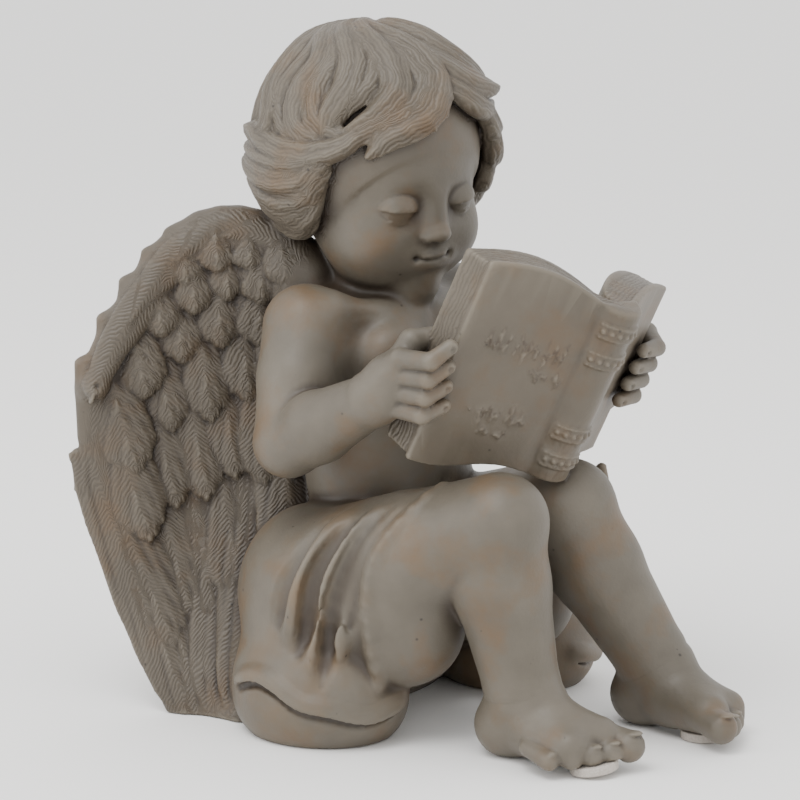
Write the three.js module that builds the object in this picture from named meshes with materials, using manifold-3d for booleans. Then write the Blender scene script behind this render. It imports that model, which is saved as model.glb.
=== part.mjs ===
// Sitting cherub that reads an open book: a small cast resin garden and shelf figure.
// The child, its wings, its cloth, its hair and the book came out of one mould, so they are one solid.
// A round foam pad is glued under the front of each foot.
// Millimetres, +Z up. The figure faces -Y and its left side is +X. The origin is the middle of the
// flat underside of the seat.
import * as THREE from "three";
import Module from "manifold-3d";
import { mergeVertices } from "three/addons/utils/BufferGeometryUtils.js";

// Driving dimensions
const figureHeight = 200;
const padDiameter = 13;
const padThickness = 2.4;
const glueGap = 0.3;
const bookHeight = 53.7;
const coverWidth = 36.5;
const coverThickness = 2.2;
const pageBlockThickness = 11;
const pageRecess = 0.8;
const foreEdgeSlant = 5;
const spineWidth = 15;
const spineBulge = 5.5;
const spineBandHeight = 4.5;
const spineBandProud = 0.9;

// The modelled figure is written for a height of 200 mm, and every place and radius follows the height.
const modelledHeight = 200;
const unit = figureHeight / modelledHeight;
const place = (x, y, z) => new THREE.Vector3(x, y, z).multiplyScalar(unit);
const degrees = THREE.MathUtils.degToRad;

// Fineness of the clay and of the finished facets
const cell = 2.0 * unit;
const margin = 7 * unit;
const facetBudget = 8000;

const resin = new THREE.MeshStandardMaterial({ color: 0x857d70, roughness: 0.62, metalness: 0 });
const foam = new THREE.MeshStandardMaterial({ color: 0xb3aca4, roughness: 0.95, metalness: 0 });

// Clay: signed distances on a grid, into which shapes are pressed, joined with a soft fillet or cut away
class Clay {
  constructor(low, high) {
    this.low = low;
    this.size = [0, 1, 2].map((i) => Math.ceil((high.getComponent(i) - low.getComponent(i)) / cell) + 1);
    this.values = new Float32Array(this.size[0] * this.size[1] * this.size[2]).fill(margin * 2);
  }

  index(i, j, k) {
    return i + this.size[0] * (j + this.size[1] * k);
  }

  visit(shape, change) {
    const from = [0, 1, 2].map((i) => {
      const start = shape.low.getComponent(i) - margin - this.low.getComponent(i);
      return Math.max(0, Math.floor(start / cell));
    });
    const to = [0, 1, 2].map((i) => {
      const end = shape.high.getComponent(i) + margin - this.low.getComponent(i);
      return Math.min(this.size[i] - 1, Math.ceil(end / cell));
    });
    for (let k = from[2]; k <= to[2]; k++) {
      for (let j = from[1]; j <= to[1]; j++) {
        for (let i = from[0]; i <= to[0]; i++) {
          const at = this.index(i, j, k);
          const x = this.low.x + i * cell;
          const y = this.low.y + j * cell;
          const z = this.low.z + k * cell;
          this.values[at] = change(this.values[at], shape.distance(x, y, z));
        }
      }
    }
  }

  add(shape, fillet = 0) {
    this.visit(shape, (old, d) => softMin(old, d, fillet * unit));
    return this;
  }

  cut(shape, fillet = 0) {
    this.visit(shape, (old, d) => -softMin(-old, d, fillet * unit));
    return this;
  }

  join(other, fillet = 0) {
    for (let at = 0; at < this.values.length; at++) {
      this.values[at] = softMin(this.values[at], other.values[at], fillet * unit);
    }
    return this;
  }
}

function softMin(a, b, fillet) {
  if (fillet <= 0) return Math.min(a, b);
  const h = Math.max(fillet - Math.abs(a - b), 0) / fillet;
  return Math.min(a, b) - (h * h * fillet) / 4;
}

const mix = THREE.MathUtils.lerp;
const clamp01 = (t) => Math.min(1, Math.max(0, t));

// Shapes: a box that holds each one, and its signed distance
function boxAround(points, reach) {
  const box = new THREE.Box3().setFromPoints(points).expandByScalar(reach);
  return { low: box.min, high: box.max };
}

// A tapered limb with round ends, as between two joints
function limb(a, b, radiusA, radiusB) {
  const ra = radiusA * unit;
  const rb = radiusB * unit;
  const axis = b.clone().sub(a);
  const length2 = axis.lengthSq();
  const taper = ra - rb;
  const slope = length2 - taper * taper;
  return {
    ...boxAround([a, b], Math.max(ra, rb)),
    distance(x, y, z) {
      const px = x - a.x;
      const py = y - a.y;
      const pz = z - a.z;
      const along = px * axis.x + py * axis.y + pz * axis.z;
      const beyond = along - length2;
      const qx = px * length2 - axis.x * along;
      const qy = py * length2 - axis.y * along;
      const qz = pz * length2 - axis.z * along;
      const across2 = qx * qx + qy * qy + qz * qz;
      const along2 = along * along * length2;
      const beyond2 = beyond * beyond * length2;
      const side = Math.sign(taper) * taper * taper * across2;
      if (Math.sign(beyond) * slope * beyond2 > side) return Math.sqrt(across2 + beyond2) / length2 - rb;
      if (Math.sign(along) * slope * along2 < side) return Math.sqrt(across2 + along2) / length2 - ra;
      return (Math.sqrt((across2 * slope) / length2) + along * taper) / length2 - ra;
    },
  };
}

// A rounded mass with three radii, turned as a whole
function mass(centre, radii, turn = new THREE.Quaternion()) {
  const r = radii.map((radius) => radius * unit);
  const back = turn.clone().invert();
  const p = new THREE.Vector3();
  return {
    ...boxAround([centre], Math.max(...r)),
    distance(x, y, z) {
      p.set(x - centre.x, y - centre.y, z - centre.z).applyQuaternion(back);
      const k0 = Math.hypot(p.x / r[0], p.y / r[1], p.z / r[2]);
      const k1 = Math.hypot(p.x / r[0] ** 2, p.y / r[1] ** 2, p.z / r[2] ** 2);
      return k1 > 1e-9 ? (k0 * (k0 - 1)) / k1 : -Math.min(...r);
    },
  };
}

// A flat lock, feather or fold that follows a line: width and thickness vary along it, and its flat side
// faces the way of the outward normals
function ribbon(line, outward, widths, thicknesses) {
  const spans = [];
  for (let i = 0; i < line.length - 1; i++) {
    const a = line[i];
    const axis = line[i + 1].clone().sub(a);
    const normal = outward[i].clone().normalize();
    const side = normal.clone().cross(axis).normalize();
    const up = axis.clone().cross(side).normalize();
    spans.push({ a, axis, side, up, length2: axis.lengthSq(), i });
  }
  return {
    ...boxAround(line, Math.max(...widths, ...thicknesses) * unit),
    distance(x, y, z) {
      let best = Infinity;
      for (const s of spans) {
        const px = x - s.a.x;
        const py = y - s.a.y;
        const pz = z - s.a.z;
        const t = clamp01((px * s.axis.x + py * s.axis.y + pz * s.axis.z) / s.length2);
        const w = mix(widths[s.i], widths[s.i + 1], t) * unit;
        const h = mix(thicknesses[s.i], thicknesses[s.i + 1], t) * unit;
        const rx = px - s.axis.x * t;
        const ry = py - s.axis.y * t;
        const rz = pz - s.axis.z * t;
        const across = rx * s.side.x + ry * s.side.y + rz * s.side.z;
        const high = rx * s.up.x + ry * s.up.y + rz * s.up.z;
        const rest2 = Math.max(0, rx * rx + ry * ry + rz * rz - across * across - high * high);
        const k0 = Math.sqrt((across / w) ** 2 + (high / h) ** 2 + rest2 / h ** 2);
        const k1 = Math.sqrt(across ** 2 / w ** 4 + high ** 2 / h ** 4 + rest2 / h ** 4);
        best = Math.min(best, k1 > 1e-9 ? (k0 * (k0 - 1)) / k1 : -h);
      }
      return best;
    },
  };
}

// Everything on the far side of a plane, within a box
function beyondPlane(point, normal, box) {
  const n = normal.clone().normalize();
  return {
    low: box.min,
    high: box.max,
    distance: (x, y, z) => -((x - point.x) * n.x + (y - point.y) * n.y + (z - point.z) * n.z),
  };
}

const sampled = (points, count) =>
  new THREE.CatmullRomCurve3(points, false, "centripetal").getPoints(count - 1);
const spread = (from, to, count) => Array.from({ length: count }, (_, i) => mix(from, to, i / (count - 1)));
// Width of a leaf or feather along its length: narrow root, full middle, round tip
const leafWidth = (t, full) => full * (0.55 + 0.45 * Math.sin(Math.PI * Math.min(1, t * 1.15 + 0.1) * 0.62)) *
  Math.sqrt(Math.max(0.06, 1 - Math.max(0, (t - 0.72) / 0.28) ** 2));

// The open book. Its spine stands between the knees and leans away from the reader, and its near cover
// swings back further than its far one. Points in it are given across, towards the reader, and up the spine.
const spineFoot = place(-3.6, -51.4, 74.4);
const spineUp = new THREE.Vector3(0.063, -0.4275, 0.902).normalize();
const bookAcross = new THREE.Vector3(1, 0, 0).addScaledVector(spineUp, -spineUp.x).normalize();
const toReader = spineUp.clone().cross(bookAcross).normalize();
const swingRight = degrees(31);
const swingLeft = degrees(20);
const swingOf = (side) => (side < 0 ? swingRight : swingLeft);
const bookPoint = (x, y, z) => spineFoot.clone()
  .addScaledVector(bookAcross, x).addScaledVector(toReader, y).addScaledVector(spineUp, z);
// Across and towards the reader, for a point out from a hinge and lifted from the outer face of its cover
const halfPoint = (side, out, lift) => [
  side * (spineWidth / 2 + out * Math.cos(swingOf(side)) - lift * Math.sin(swingOf(side))),
  out * Math.sin(swingOf(side)) + lift * Math.cos(swingOf(side)),
];
// A point on a half of the book: out from the hinge, up the spine, and clear of the outer face
const onCover = (side, out, up, clear) => bookPoint(...halfPoint(side, out, -clear), up);

// The covers are warped: away from the spine their top and bottom edges rise or sink
const warps = {
  right: { top: 4, topHump: 3, bottom: -3.2, bottomWave: 1.2 },
  left: { top: -4.5, topHump: 2, bottom: -4.5, bottomWave: 0 },
};
function warpedHeight(x, y, z) {
  const side = x < 0 ? -1 : 1;
  const { top, topHump, bottom, bottomWave } = side < 0 ? warps.right : warps.left;
  const out = (Math.abs(x) - spineWidth / 2) * Math.cos(swingOf(side)) + y * Math.sin(swingOf(side));
  const t = Math.min(1.1, Math.max(0, out / coverWidth));
  const rise = (top * t + topHump * Math.sin(Math.PI * t)) * unit;
  const sink = (bottom * t + bottomWave * Math.sin(2 * Math.PI * t)) * unit;
  return z + mix(sink, rise, z / bookHeight);
}

const curveSteps = 5;
function halfLine(side, from, to, lift) {
  return spread(from, to, curveSteps).map((out) => halfPoint(side, out, lift));
}

function coverOutline() {
  const shape = new THREE.Shape();
  shape.moveTo(...halfPoint(-1, coverWidth, 0));
  for (const point of halfLine(-1, coverWidth, 0, 0)) shape.lineTo(...point);
  shape.quadraticCurveTo(0, -2 * spineBulge, ...halfPoint(1, 0, 0));
  for (const point of halfLine(1, 0, coverWidth, 0)) shape.lineTo(...point);
  for (const point of halfLine(1, coverWidth, 0, coverThickness)) shape.lineTo(...point);
  shape.quadraticCurveTo(0, coverThickness - 2 * spineBulge, ...halfPoint(-1, 0, coverThickness));
  for (const point of halfLine(-1, 0, coverWidth, coverThickness)) shape.lineTo(...point);
  return shape;
}

// The leaves of each half fan out at the fore edge and rise in a soft hump that dips into the gutter
function pagesOutline() {
  const shape = new THREE.Shape();
  const edge = coverWidth - pageRecess;
  const fanned = edge + foreEdgeSlant;
  const deep = coverThickness / 2;
  const thick = pageBlockThickness;
  const hinge = halfLine(-1, edge, 0, deep);
  shape.moveTo(...hinge[0]);
  for (const point of hinge) shape.lineTo(...point);
  shape.quadraticCurveTo(0, deep - 2 * spineBulge, ...halfPoint(1, 0, deep));
  for (const point of halfLine(1, 0, edge, deep)) shape.lineTo(...point);
  const [corner, shoulder, hump] = [[fanned, thick], [edge * 0.8, thick * 1.05], [edge * 0.35, thick * 1.1]];
  shape.lineTo(...halfPoint(1, fanned, thick * 0.8));
  shape.quadraticCurveTo(...halfPoint(1, ...corner), ...halfPoint(1, ...shoulder));
  shape.bezierCurveTo(...halfPoint(1, ...hump), spineWidth * 0.3, thick, 0, thick * 0.35);
  shape.bezierCurveTo(-spineWidth * 0.3, thick, ...halfPoint(-1, ...hump), ...halfPoint(-1, ...shoulder));
  shape.quadraticCurveTo(...halfPoint(-1, ...corner), ...halfPoint(-1, fanned, thick * 0.8));
  return shape;
}

function bandOutline() {
  const shape = new THREE.Shape();
  const half = spineWidth / 2;
  shape.moveTo(-half, -spineBandProud);
  shape.quadraticCurveTo(0, -spineBandProud - 2 * spineBulge, half, -spineBandProud);
  shape.lineTo(half, coverThickness / 2);
  shape.quadraticCurveTo(0, coverThickness / 2 - 2 * spineBulge, -half, coverThickness / 2);
  return shape;
}

function standingInBook(shape, from, height) {
  const settings = { depth: height, bevelEnabled: false, curveSegments: curveSteps };
  const solid = new THREE.ExtrudeGeometry(shape, settings);
  const points = solid.attributes.position;
  for (let i = 0; i < points.count; i++) {
    const [x, y, z] = [points.getX(i), points.getY(i), points.getZ(i) + from];
    points.setZ(i, warpedHeight(x, y, z));
  }
  const stand = new THREE.Matrix4().makeBasis(bookAcross, toReader, spineUp);
  return solid.applyMatrix4(stand.setPosition(spineFoot));
}

function bookPieces() {
  const cover = standingInBook(coverOutline(), 0, bookHeight);
  const pages = standingInBook(pagesOutline(), pageRecess, bookHeight - 2 * pageRecess);
  const feet = [spineBandHeight, spineBandHeight * 2.9];
  const bands = [...feet, ...feet.map((z) => bookHeight - z - spineBandHeight)]
    .map((z) => standingInBook(bandOutline(), z, spineBandHeight));
  return [cover, pages, ...bands];
}

// Head: places on it are given across, back and up from its middle, and it bends over the book and turns
// a little to the figure's right
const headCentre = place(-3, 9, 157);
const headTurn = new THREE.Quaternion().setFromEuler(
  new THREE.Euler(degrees(16), degrees(-5), degrees(-14), "ZYX"),
);
const headScale = 1.1;
const onHead = (x, y, z) =>
  place(x, y, z).multiplyScalar(headScale).applyQuaternion(headTurn).add(headCentre);
const headWay = (x, y, z) => new THREE.Vector3(x, y, z).applyQuaternion(headTurn);

const headMass = (x, y, z, radii) => mass(onHead(x, y, z), radii.map((r) => r * headScale), headTurn);
const headLimb = (from, to, a, b) => limb(onHead(...from), onHead(...to), a * headScale, b * headScale);
function headForm(clay) {
  clay.add(headMass(0, 2, 2, [24.5, 28, 27]));
  clay.add(headMass(0, -9, -15, [19.5, 17, 18]), 8);
  for (const side of [-1, 1]) {
    clay.add(headMass(side * 11, -14, -15, [9.5, 10, 9.5]), 5);
    clay.cut(headMass(side * 9, -29.5, -2.5, [6, 4.5, 4.5]), 4);
    clay.add(headMass(side * 8.6, -23, -3.2, [5.2, 3.6, 3.8]), 1.5);
    clay.add(headMass(side * 24, 3, -6, [2.5, 4.5, 6.5]), 2);
  }
  clay.add(headLimb([0, -25, 0], [0, -28, -9], 2.2, 3.0), 3.5);
  clay.add(headMass(0, -29, -10, [3.4, 3.2, 2.8]), 1.5);
  clay.add(headMass(0, -24.5, -18, [6, 3.6, 3.4]), 2.5);
  clay.add(headMass(0, -20, -27, [6.5, 6, 5.5]), 4);
  clay.cut(headLimb([-4.5, -28.6, -17], [4.5, -28.6, -17], 0.9, 0.9), 1);
  return clay;
}

// Hair: locks that leave a whorl at the back of the crown. Places on the scalp are given in degrees down
// from the whorl and round from the front, and the figure's right is positive.
const whorl = new THREE.Vector3(0.12, 0.3, 0.94).normalize();
const whorlFront = new THREE.Vector3(0, -1, 0).addScaledVector(whorl, whorl.y).normalize();
const whorlSide = whorlFront.clone().cross(whorl).normalize();
function onScalp(down, round, lift) {
  const way = whorl.clone().multiplyScalar(Math.cos(degrees(down)))
    .addScaledVector(whorlFront, Math.sin(degrees(down)) * Math.cos(degrees(round)))
    .addScaledVector(whorlSide, Math.sin(degrees(down)) * Math.sin(degrees(round)));
  const reach = 1 / Math.hypot(way.x / 25.5, way.y / 29, way.z / 28.5) + lift;
  return onHead(way.x * reach, way.y * reach + 2, way.z * reach + 2);
}

// Each family of locks lies between two guides: a fringe that sweeps to the right, the locks over each
// temple, the back, and a lower row whose ends curl outwards
const hairFamilies = [
  {
    from: [[8, -150], [36, -150], [68, -150], [100, -152]],
    to: [[8, -212], [38, -212], [70, -210], [102, -206]],
    count: 7, width: 6.2, lift: 1.6, flick: 2,
  },
  {
    from: [[10, -90], [34, -84], [64, -80], [92, -70]],
    to: [[8, -146], [36, -146], [66, -146], [98, -148]],
    count: 6, width: 6.2, lift: 1.6, flick: 3,
  },
  {
    from: [[88, -62], [100, -70], [114, -76]],
    to: [[96, -150], [112, -152], [126, -154]],
    count: 6, width: 6.0, lift: 2.6, flick: 6,
  },
  {
    from: [[96, -156], [110, -158], [126, -162]],
    to: [[96, -206], [110, -204], [126, -200]],
    count: 4, width: 6.4, lift: 2.4, flick: 4,
  },
  {
    from: [[84, 84], [102, 92], [118, 92], [132, 84]],
    to: [[84, 146], [100, 150], [114, 152], [126, 150]],
    count: 6, width: 6.4, lift: 3.4, flick: 5,
  },
  {
    from: [[8, 62], [30, 96], [54, 112], [74, 122], [86, 130]],
    to: [[8, 146], [34, 146], [62, 148], [86, 150]],
    count: 4, width: 6.2, lift: 2.0, flick: 5,
  },
  {
    from: [[7, 12], [27, 46], [50, 62], [70, 72], [86, 84]],
    to: [[8, 56], [30, 92], [54, 108], [74, 118], [85, 128]],
    count: 4, width: 6.6, lift: 2.0, flick: 4,
  },
  {
    from: [[6, -58], [26, -44], [44, -36], [56, -40], [61, -50]],
    to: [[8, -86], [30, -80], [56, -72], [78, -66]],
    count: 4, width: 6.4, lift: 2.0, flick: 5,
  },
  {
    from: [[6, -40], [34, -14], [58, -9], [75, 6], [85, 26], [93, 39]],
    to: [[6, 8], [26, 42], [48, 58], [68, 66], [82, 72], [92, 80]],
    count: 6, width: 7.2, lift: 2.2, flick: 2,
  },
];
function hairLock(family, number) {
  const share = number / (family.count - 1);
  const [from, to] = [family.from, family.to].map((guide) => new THREE.CatmullRomCurve3(
    guide.map(([down, round]) => new THREE.Vector3(down, round, 0))));
  const steps = 8;
  const line = spread(0, 1, steps).map((t) => {
    const at = from.getPoint(t).lerp(to.getPoint(t), share);
    const wave = 3 * Math.sin(6 * t + 2.4 * number);
    const uneven = 0.7 * Math.sin(2.1 * number + family.count);
    return onScalp(at.x, at.y + wave, family.lift + family.flick * t ** 4 + uneven * (1 - t * t));
  });
  const outward = line.map((point) => point.clone().sub(headCentre));
  const fullness = (t) => 0.55 + 0.55 * Math.sin(Math.PI * (0.12 + 0.74 * t));
  const widths = spread(0, 1, steps).map((t) => (family.width / 2) * fullness(t));
  return ribbon(line, outward, widths, spread(3.0, 2.2, steps));
}

function hairForm(clay) {
  clay.add(headMass(0, 4.5, 4, [26, 27.5, 27]));
  // the cap of hair stops at the brow, the temples and behind the ears
  clay.cut(headMass(0, -24, -14, [24, 22, 24]), 2);
  for (const family of hairFamilies) {
    for (let number = 0; number < family.count; number++) clay.add(hairLock(family, number), 0.7);
  }
  return clay;
}

// Body: chest, belly, arms and legs
const hips = place(0, 10, 34);
const shoulders = { right: place(-31, 12, 112), left: place(31, 7, 112) };
const elbows = { right: place(-45, 6, 82), left: place(49, -12, 80) };
const wrists = { right: place(-46, -26, 98), left: place(43, -40, 94) };
const knees = { right: place(-31, -57, 66), left: place(9, -50, 63) };
const ankles = { right: place(-24, -60, 18), left: place(24, -70, 18) };
const thighRoots = { right: place(-32, 2, 37), left: place(30, 0, 37) };

function torsoForm(clay) {
  clay.add(mass(place(0, 9, 100), [30, 19, 24]));
  clay.add(mass(place(0, 8, 70), [28, 20.5, 26]), 12);
  clay.add(mass(hips, [36, 25, 26]), 10);
  clay.add(limb(place(0, 11, 108), onHead(0, 4, -20), 15, 12), 8);
  for (const side of [-1, 1]) {
    clay.add(mass(place(side * 12, -6, 104), [12, 7, 10]), 6);
    clay.add(mass(place(side * 17, 20, 104), [13, 8, 16]), 6);
  }
  clay.cut(limb(place(0, 31, 62), place(0, 32, 112), 2, 2), 7);
}

function armForm(clay, side) {
  const shoulder = shoulders[side];
  const elbow = elbows[side];
  const wrist = wrists[side];
  const bulk = shoulder.clone().lerp(elbow, 0.45);
  clay.add(limb(shoulder, bulk, 12, 11.2), 8);
  clay.add(limb(bulk, elbow, 11.2, 9.6), 2);
  const swell = elbow.clone().lerp(wrist, 0.35);
  clay.add(limb(elbow, swell, 9.6, 9.8), 1.5);
  clay.add(limb(swell, wrist, 9.8, 6.4), 2);
}

function legForm(clay, side) {
  const root = thighRoots[side];
  const knee = knees[side];
  const ankle = ankles[side];
  clay.add(limb(root, root.clone().lerp(knee, 0.5), 21, 18.5), 8);
  clay.add(limb(root.clone().lerp(knee, 0.5), knee, 18.5, 13.2), 3);
  const calf = knee.clone().lerp(ankle, 0.38).add(place(0, 2.5, 0));
  clay.add(limb(knee, calf, 12.4, 13), 2);
  clay.add(limb(calf, ankle, 13, 10), 3);
}

// Foot: heel, instep and ball, then five toes. The ball rests on the pad.
const feet = {
  right: { heel: place(-24, -55, 9), way: place(0, -1, 0), outer: -1 },
  left: { heel: place(25, -65, 9), way: place(-0.08, -1, 0), outer: 1 },
};
const footLength = 38;
const padTilt = { right: degrees(9), left: 0 };
const toeRadii = [4.6, 3.6, 3.4, 3.1, 2.8];
function footFrame(side) {
  const foot = feet[side];
  const forward = foot.way.clone().setZ(0).normalize();
  const out = forward.clone().cross(new THREE.Vector3(0, 0, 1)).multiplyScalar(-foot.outer);
  return { foot, forward, out };
}
const ballReach = { right: 29, left: 22 };
function padPlace(side) {
  const { foot, forward } = footFrame(side);
  return foot.heel.clone().setZ(0).addScaledVector(forward, ballReach[side] * unit);
}

function footForm(clay, side) {
  const { foot, forward, out } = footFrame(side);
  const up = new THREE.Vector3(0, 0, 1);
  const at = (along, across, high) => foot.heel.clone().setZ(0)
    .addScaledVector(forward, along * unit)
    .addScaledVector(out, across * unit)
    .addScaledVector(up, high * unit);
  const ankle = ankles[side];
  clay.add(mass(at(0, 0, 8.4), [8.6, 8.8, 8.4]), 4);
  clay.add(limb(ankle, at(14, 0, 12), 9.2, 7.8), 4);
  clay.add(limb(at(0, 0, 8.5), at(22, 0, 9), 8, 6.8), 4);
  clay.add(limb(at(12, -2, 9.5), at(27, -4.5, 8.6), 7.5, 5.8), 3);
  clay.add(limb(at(12, 3, 9), at(25, 6, 7.8), 7, 5.2), 3);
  toeRadii.forEach((radius, toe) => {
    const across = -8 + toe * 4.7 + (toe > 0 ? 1 : 0);
    const reach = footLength - 1.5 * toe - 0.35 * toe * toe;
    const high = radius + 2.2;
    const root = at(reach - 12, across * 0.85, high + 1.6);
    clay.add(limb(root, at(reach - 3.5, across, high), radius * 0.9, radius), 1);
  });
}

// Cloth: a wide length wrapped round the hips. It hangs over each thigh into a lobe that the figure sits on,
// and long folds run down it from the waist.
const lobes = { right: place(-39, 0, 14), left: place(41, -6, 14) };
function clothForm(clay, side) {
  const s = side === "right" ? -1 : 1;
  const root = thighRoots[side];
  clay.add(mass(lobes[side], [23, 26, 21]), 6);
  clay.add(mass(place(s * 28, 12, 36), [22, 21, 25]), 8);
  clay.add(limb(root, root.clone().lerp(knees[side], 0.34), 23.5, 20.5), 6);
  const folds = 4;
  for (let fold = 0; fold < folds; fold++) {
    const t = fold / (folds - 1);
    const line = sampled([
      place(s * mix(22, 14, t), mix(0, -24, t), mix(62, 64, t)),
      place(s * mix(44, 36, t), mix(6, -22, t), mix(54, 60, t)),
      place(s * mix(53, 47, t), mix(6, -24, t), mix(36, 44, t)),
      place(s * mix(58, 49, t), mix(0, -23, t), mix(16, 28, t)),
    ], 7);
    const outward = line.map((p) => p.clone().sub(place(s * 24, 0, 28)));
    const wide = spread(0, 1, 7).map((u) => 1.2 + 3 * Math.sin(Math.PI * (0.1 + 0.8 * u)));
    clay.add(ribbon(line, outward, wide, wide.map((w) => w * 0.7)), 3.5);
  }
  // the hem stands out over the lobe, in a wavy line
  const hem = spread(-100, 60, 14).map((round, i) => {
    const way = new THREE.Vector3(s * Math.cos(degrees(round)), Math.sin(degrees(round)), 0);
    const lobe = lobes[side];
    return place(0, 0, 12 + 2.4 * Math.sin(i * 1.9) + (round < -40 ? (-40 - round) * 0.12 : 0))
      .add(new THREE.Vector3(lobe.x + way.x * 22.4 * unit, lobe.y + way.y * 25.4 * unit, 0));
  });
  for (let i = 0; i < hem.length - 1; i++) clay.add(limb(hem[i], hem[i + 1], 2.2, 2.2), 3);
}

function seatForm(clay) {
  clay.add(mass(place(0, 22, 16), [46, 20, 22]), 6);
  clay.add(mass(place(0, 8, 12), [40, 20, 16]), 4);
}

// Hands: the fingers of each lie over the fore edge of a cover, and the thumb lies on the pages. Places are
// given out from the hinge, up the spine and clear of the cover.
const grips = {
  right: {
    palm: [45.6, 14.2, -9],
    knuckles: [[47.4, 22.9, -5], [44.1, 8.5, -6]],
    tips: [[39, 32.7, 2.2], [34, 15.7, 2.2]],
    bend: 3.6,
    thumb: [[43.6, 26, -11], [31, 30, -14]],
  },
  left: {
    palm: [45.6, 21.2, -6.2],
    knuckles: [[46.6, 30.9, -1.6], [44.8, 16, -2.4]],
    tips: [[30, 31.5, 2.4], [28, 15.6, 2.2]],
    bend: 4.8,
    thumb: [[45.8, 33.5, -10.5], [33, 38, -14]],
  },
};
function handForm(clay, side) {
  const s = side === "right" ? -1 : 1;
  const grip = grips[side];
  const onBook = (at) => onCover(s, ...at.map((v) => v * unit));
  const between = ([a, b], t) => a.map((v, i) => mix(v, b[i], t));
  const palm = onBook(grip.palm);
  clay.add(limb(wrists[side], palm, 7.2, 7.0), 4);
  for (const t of spread(0, 1, 4)) {
    const [knuckle, tip] = [between(grip.knuckles, t), between(grip.tips, t)];
    const middle = between([knuckle, tip], 0.5);
    middle[2] = Math.max(knuckle[2], tip[2]) + grip.bend * 0.35;
    clay.add(limb(palm, onBook(knuckle), 6.2, 3.0), 2.5);
    clay.add(limb(onBook(knuckle), onBook(middle), 2.9, 2.6), 0.7);
    clay.add(limb(onBook(middle), onBook(tip), 2.6, 2.2), 0.4);
  }
  clay.add(limb(palm, onBook(grip.thumb[0]), 5, 3.4), 2);
  clay.add(limb(onBook(grip.thumb[0]), onBook(grip.thumb[1]), 3.3, 2.7), 1);
}

// Wing: a hollow panel between an outer and an inner edge, with an arched top. Places on it run across from
// the outer edge (0) to the back (1), and down from the arch (0) to the tips (1).
const wingOuter = new THREE.CatmullRomCurve3([
  place(-64, 66, 94), place(-63, 66, 68), place(-57, 56, 28), place(-51, 42, -1),
]);
const wingInner = new THREE.CatmullRomCurve3([
  place(-13, 26, 126), place(-15, 29, 95), place(-23, 27, 48), place(-46, 21, -1),
]);
const archRise = 27;
const wingHollow = 7;
const wingFront = new THREE.Vector3(-0.632, -0.775, 0);
function onWing(across, down, clear) {
  const arch = Math.sin(Math.PI * across) ** 0.85 * archRise * (1 - down) ** 1.6;
  const hollow = Math.sin(Math.PI * across) * wingHollow * (1 - 0.6 * down);
  return wingOuter.getPoint(down).lerp(wingInner.getPoint(down), across)
    .add(place(0, 0, arch))
    .addScaledVector(wingFront, (clear - hollow) * unit);
}

function featherShape(across, { from, to, lean, width, thick, clear }) {
  const steps = 6;
  const end = to === 1 ? 1 : to - 0.05 * Math.abs(Math.sin(across * 9));
  const line = spread(0, 1, steps).map((t) => onWing(
    clamp01(across + lean * t), mix(from, end, t), clear + Math.sign(clear + 0.1) * (1.8 * t - 1),
  ));
  const outward = line.map(() => wingFront);
  const widths = spread(0, 1, steps).map((t) => leafWidth(t, width / 2));
  const thicknesses = spread(thick, thick * 0.75, steps);
  return ribbon(line, outward, widths, thicknesses);
}

const featherRows = [
  { count: 7, from: 0.2, to: 1.0, lean: 0.16, width: 16, thick: 3.4, clear: 0.6, edge: [-0.04, 0.9] },
  { count: 6, from: 0.2, to: 0.56, lean: 0.1, width: 15, thick: 2.8, clear: 2.6, edge: [0.04, 0.9] },
  { count: 5, from: 0.12, to: 0.36, lean: 0.06, width: 14, thick: 2.8, clear: 4.2, edge: [0.14, 0.88] },
  { count: 4, from: 0.04, to: 0.2, lean: 0.02, width: 14, thick: 2.8, clear: 5.4, edge: [0.3, 0.86] },
];
const backRows = [
  { count: 5, from: 0.2, to: 0.6, lean: 0.1, width: 15, thick: 2.4, clear: -2.8, edge: [0.08, 0.88] },
  { count: 4, from: 0.04, to: 0.34, lean: 0.06, width: 15, thick: 2.4, clear: -4.2, edge: [0.16, 0.84] },
];

function wingForm(clay) {
  for (const row of [...featherRows, ...backRows]) {
    for (const across of spread(...row.edge, row.count)) clay.add(featherShape(across, row), 0.6);
  }
  // the panel behind the feathers and the thick leading edge, which ends in a small knob at the wrist
  const ribs = 9;
  for (const across of spread(0.04, 0.98, ribs)) {
    const line = spread(0, 1, 7).map((down) => onWing(across, down, 0));
    clay.add(ribbon(line, line.map(() => wingFront), spread(7, 4.5, 7), spread(3.2, 2.6, 7)), 2);
  }
  const rim = spread(0, 1, 12).map((across) => onWing(across, 0.015, 0.5));
  for (let i = 0; i < rim.length - 1; i++) {
    const thick = (t) => mix(4.2, 6.2, t);
    clay.add(limb(rim[i], rim[i + 1], thick(i / 11), thick((i + 1) / 11)), 2.5);
  }
  clay.add(mass(onWing(0.02, 0.03, 3.5), [4.2, 4.2, 4.6]), 1);
  clay.add(limb(onWing(0.98, 0.06, 0), place(-12, 22, 108), 9, 10), 5);
}

function mirroredClay(clay) {
  const other = new Clay(clay.low, clay.low.clone().add(new THREE.Vector3(
    (clay.size[0] - 1) * cell, (clay.size[1] - 1) * cell, (clay.size[2] - 1) * cell)));
  const [nx, ny, nz] = clay.size;
  for (let k = 0; k < nz; k++) {
    for (let j = 0; j < ny; j++) {
      for (let i = 0; i < nx; i++) {
        other.values[clay.index(i, j, k)] = clay.values[clay.index(nx - 1 - i, j, k)];
      }
    }
  }
  return other;
}

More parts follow.
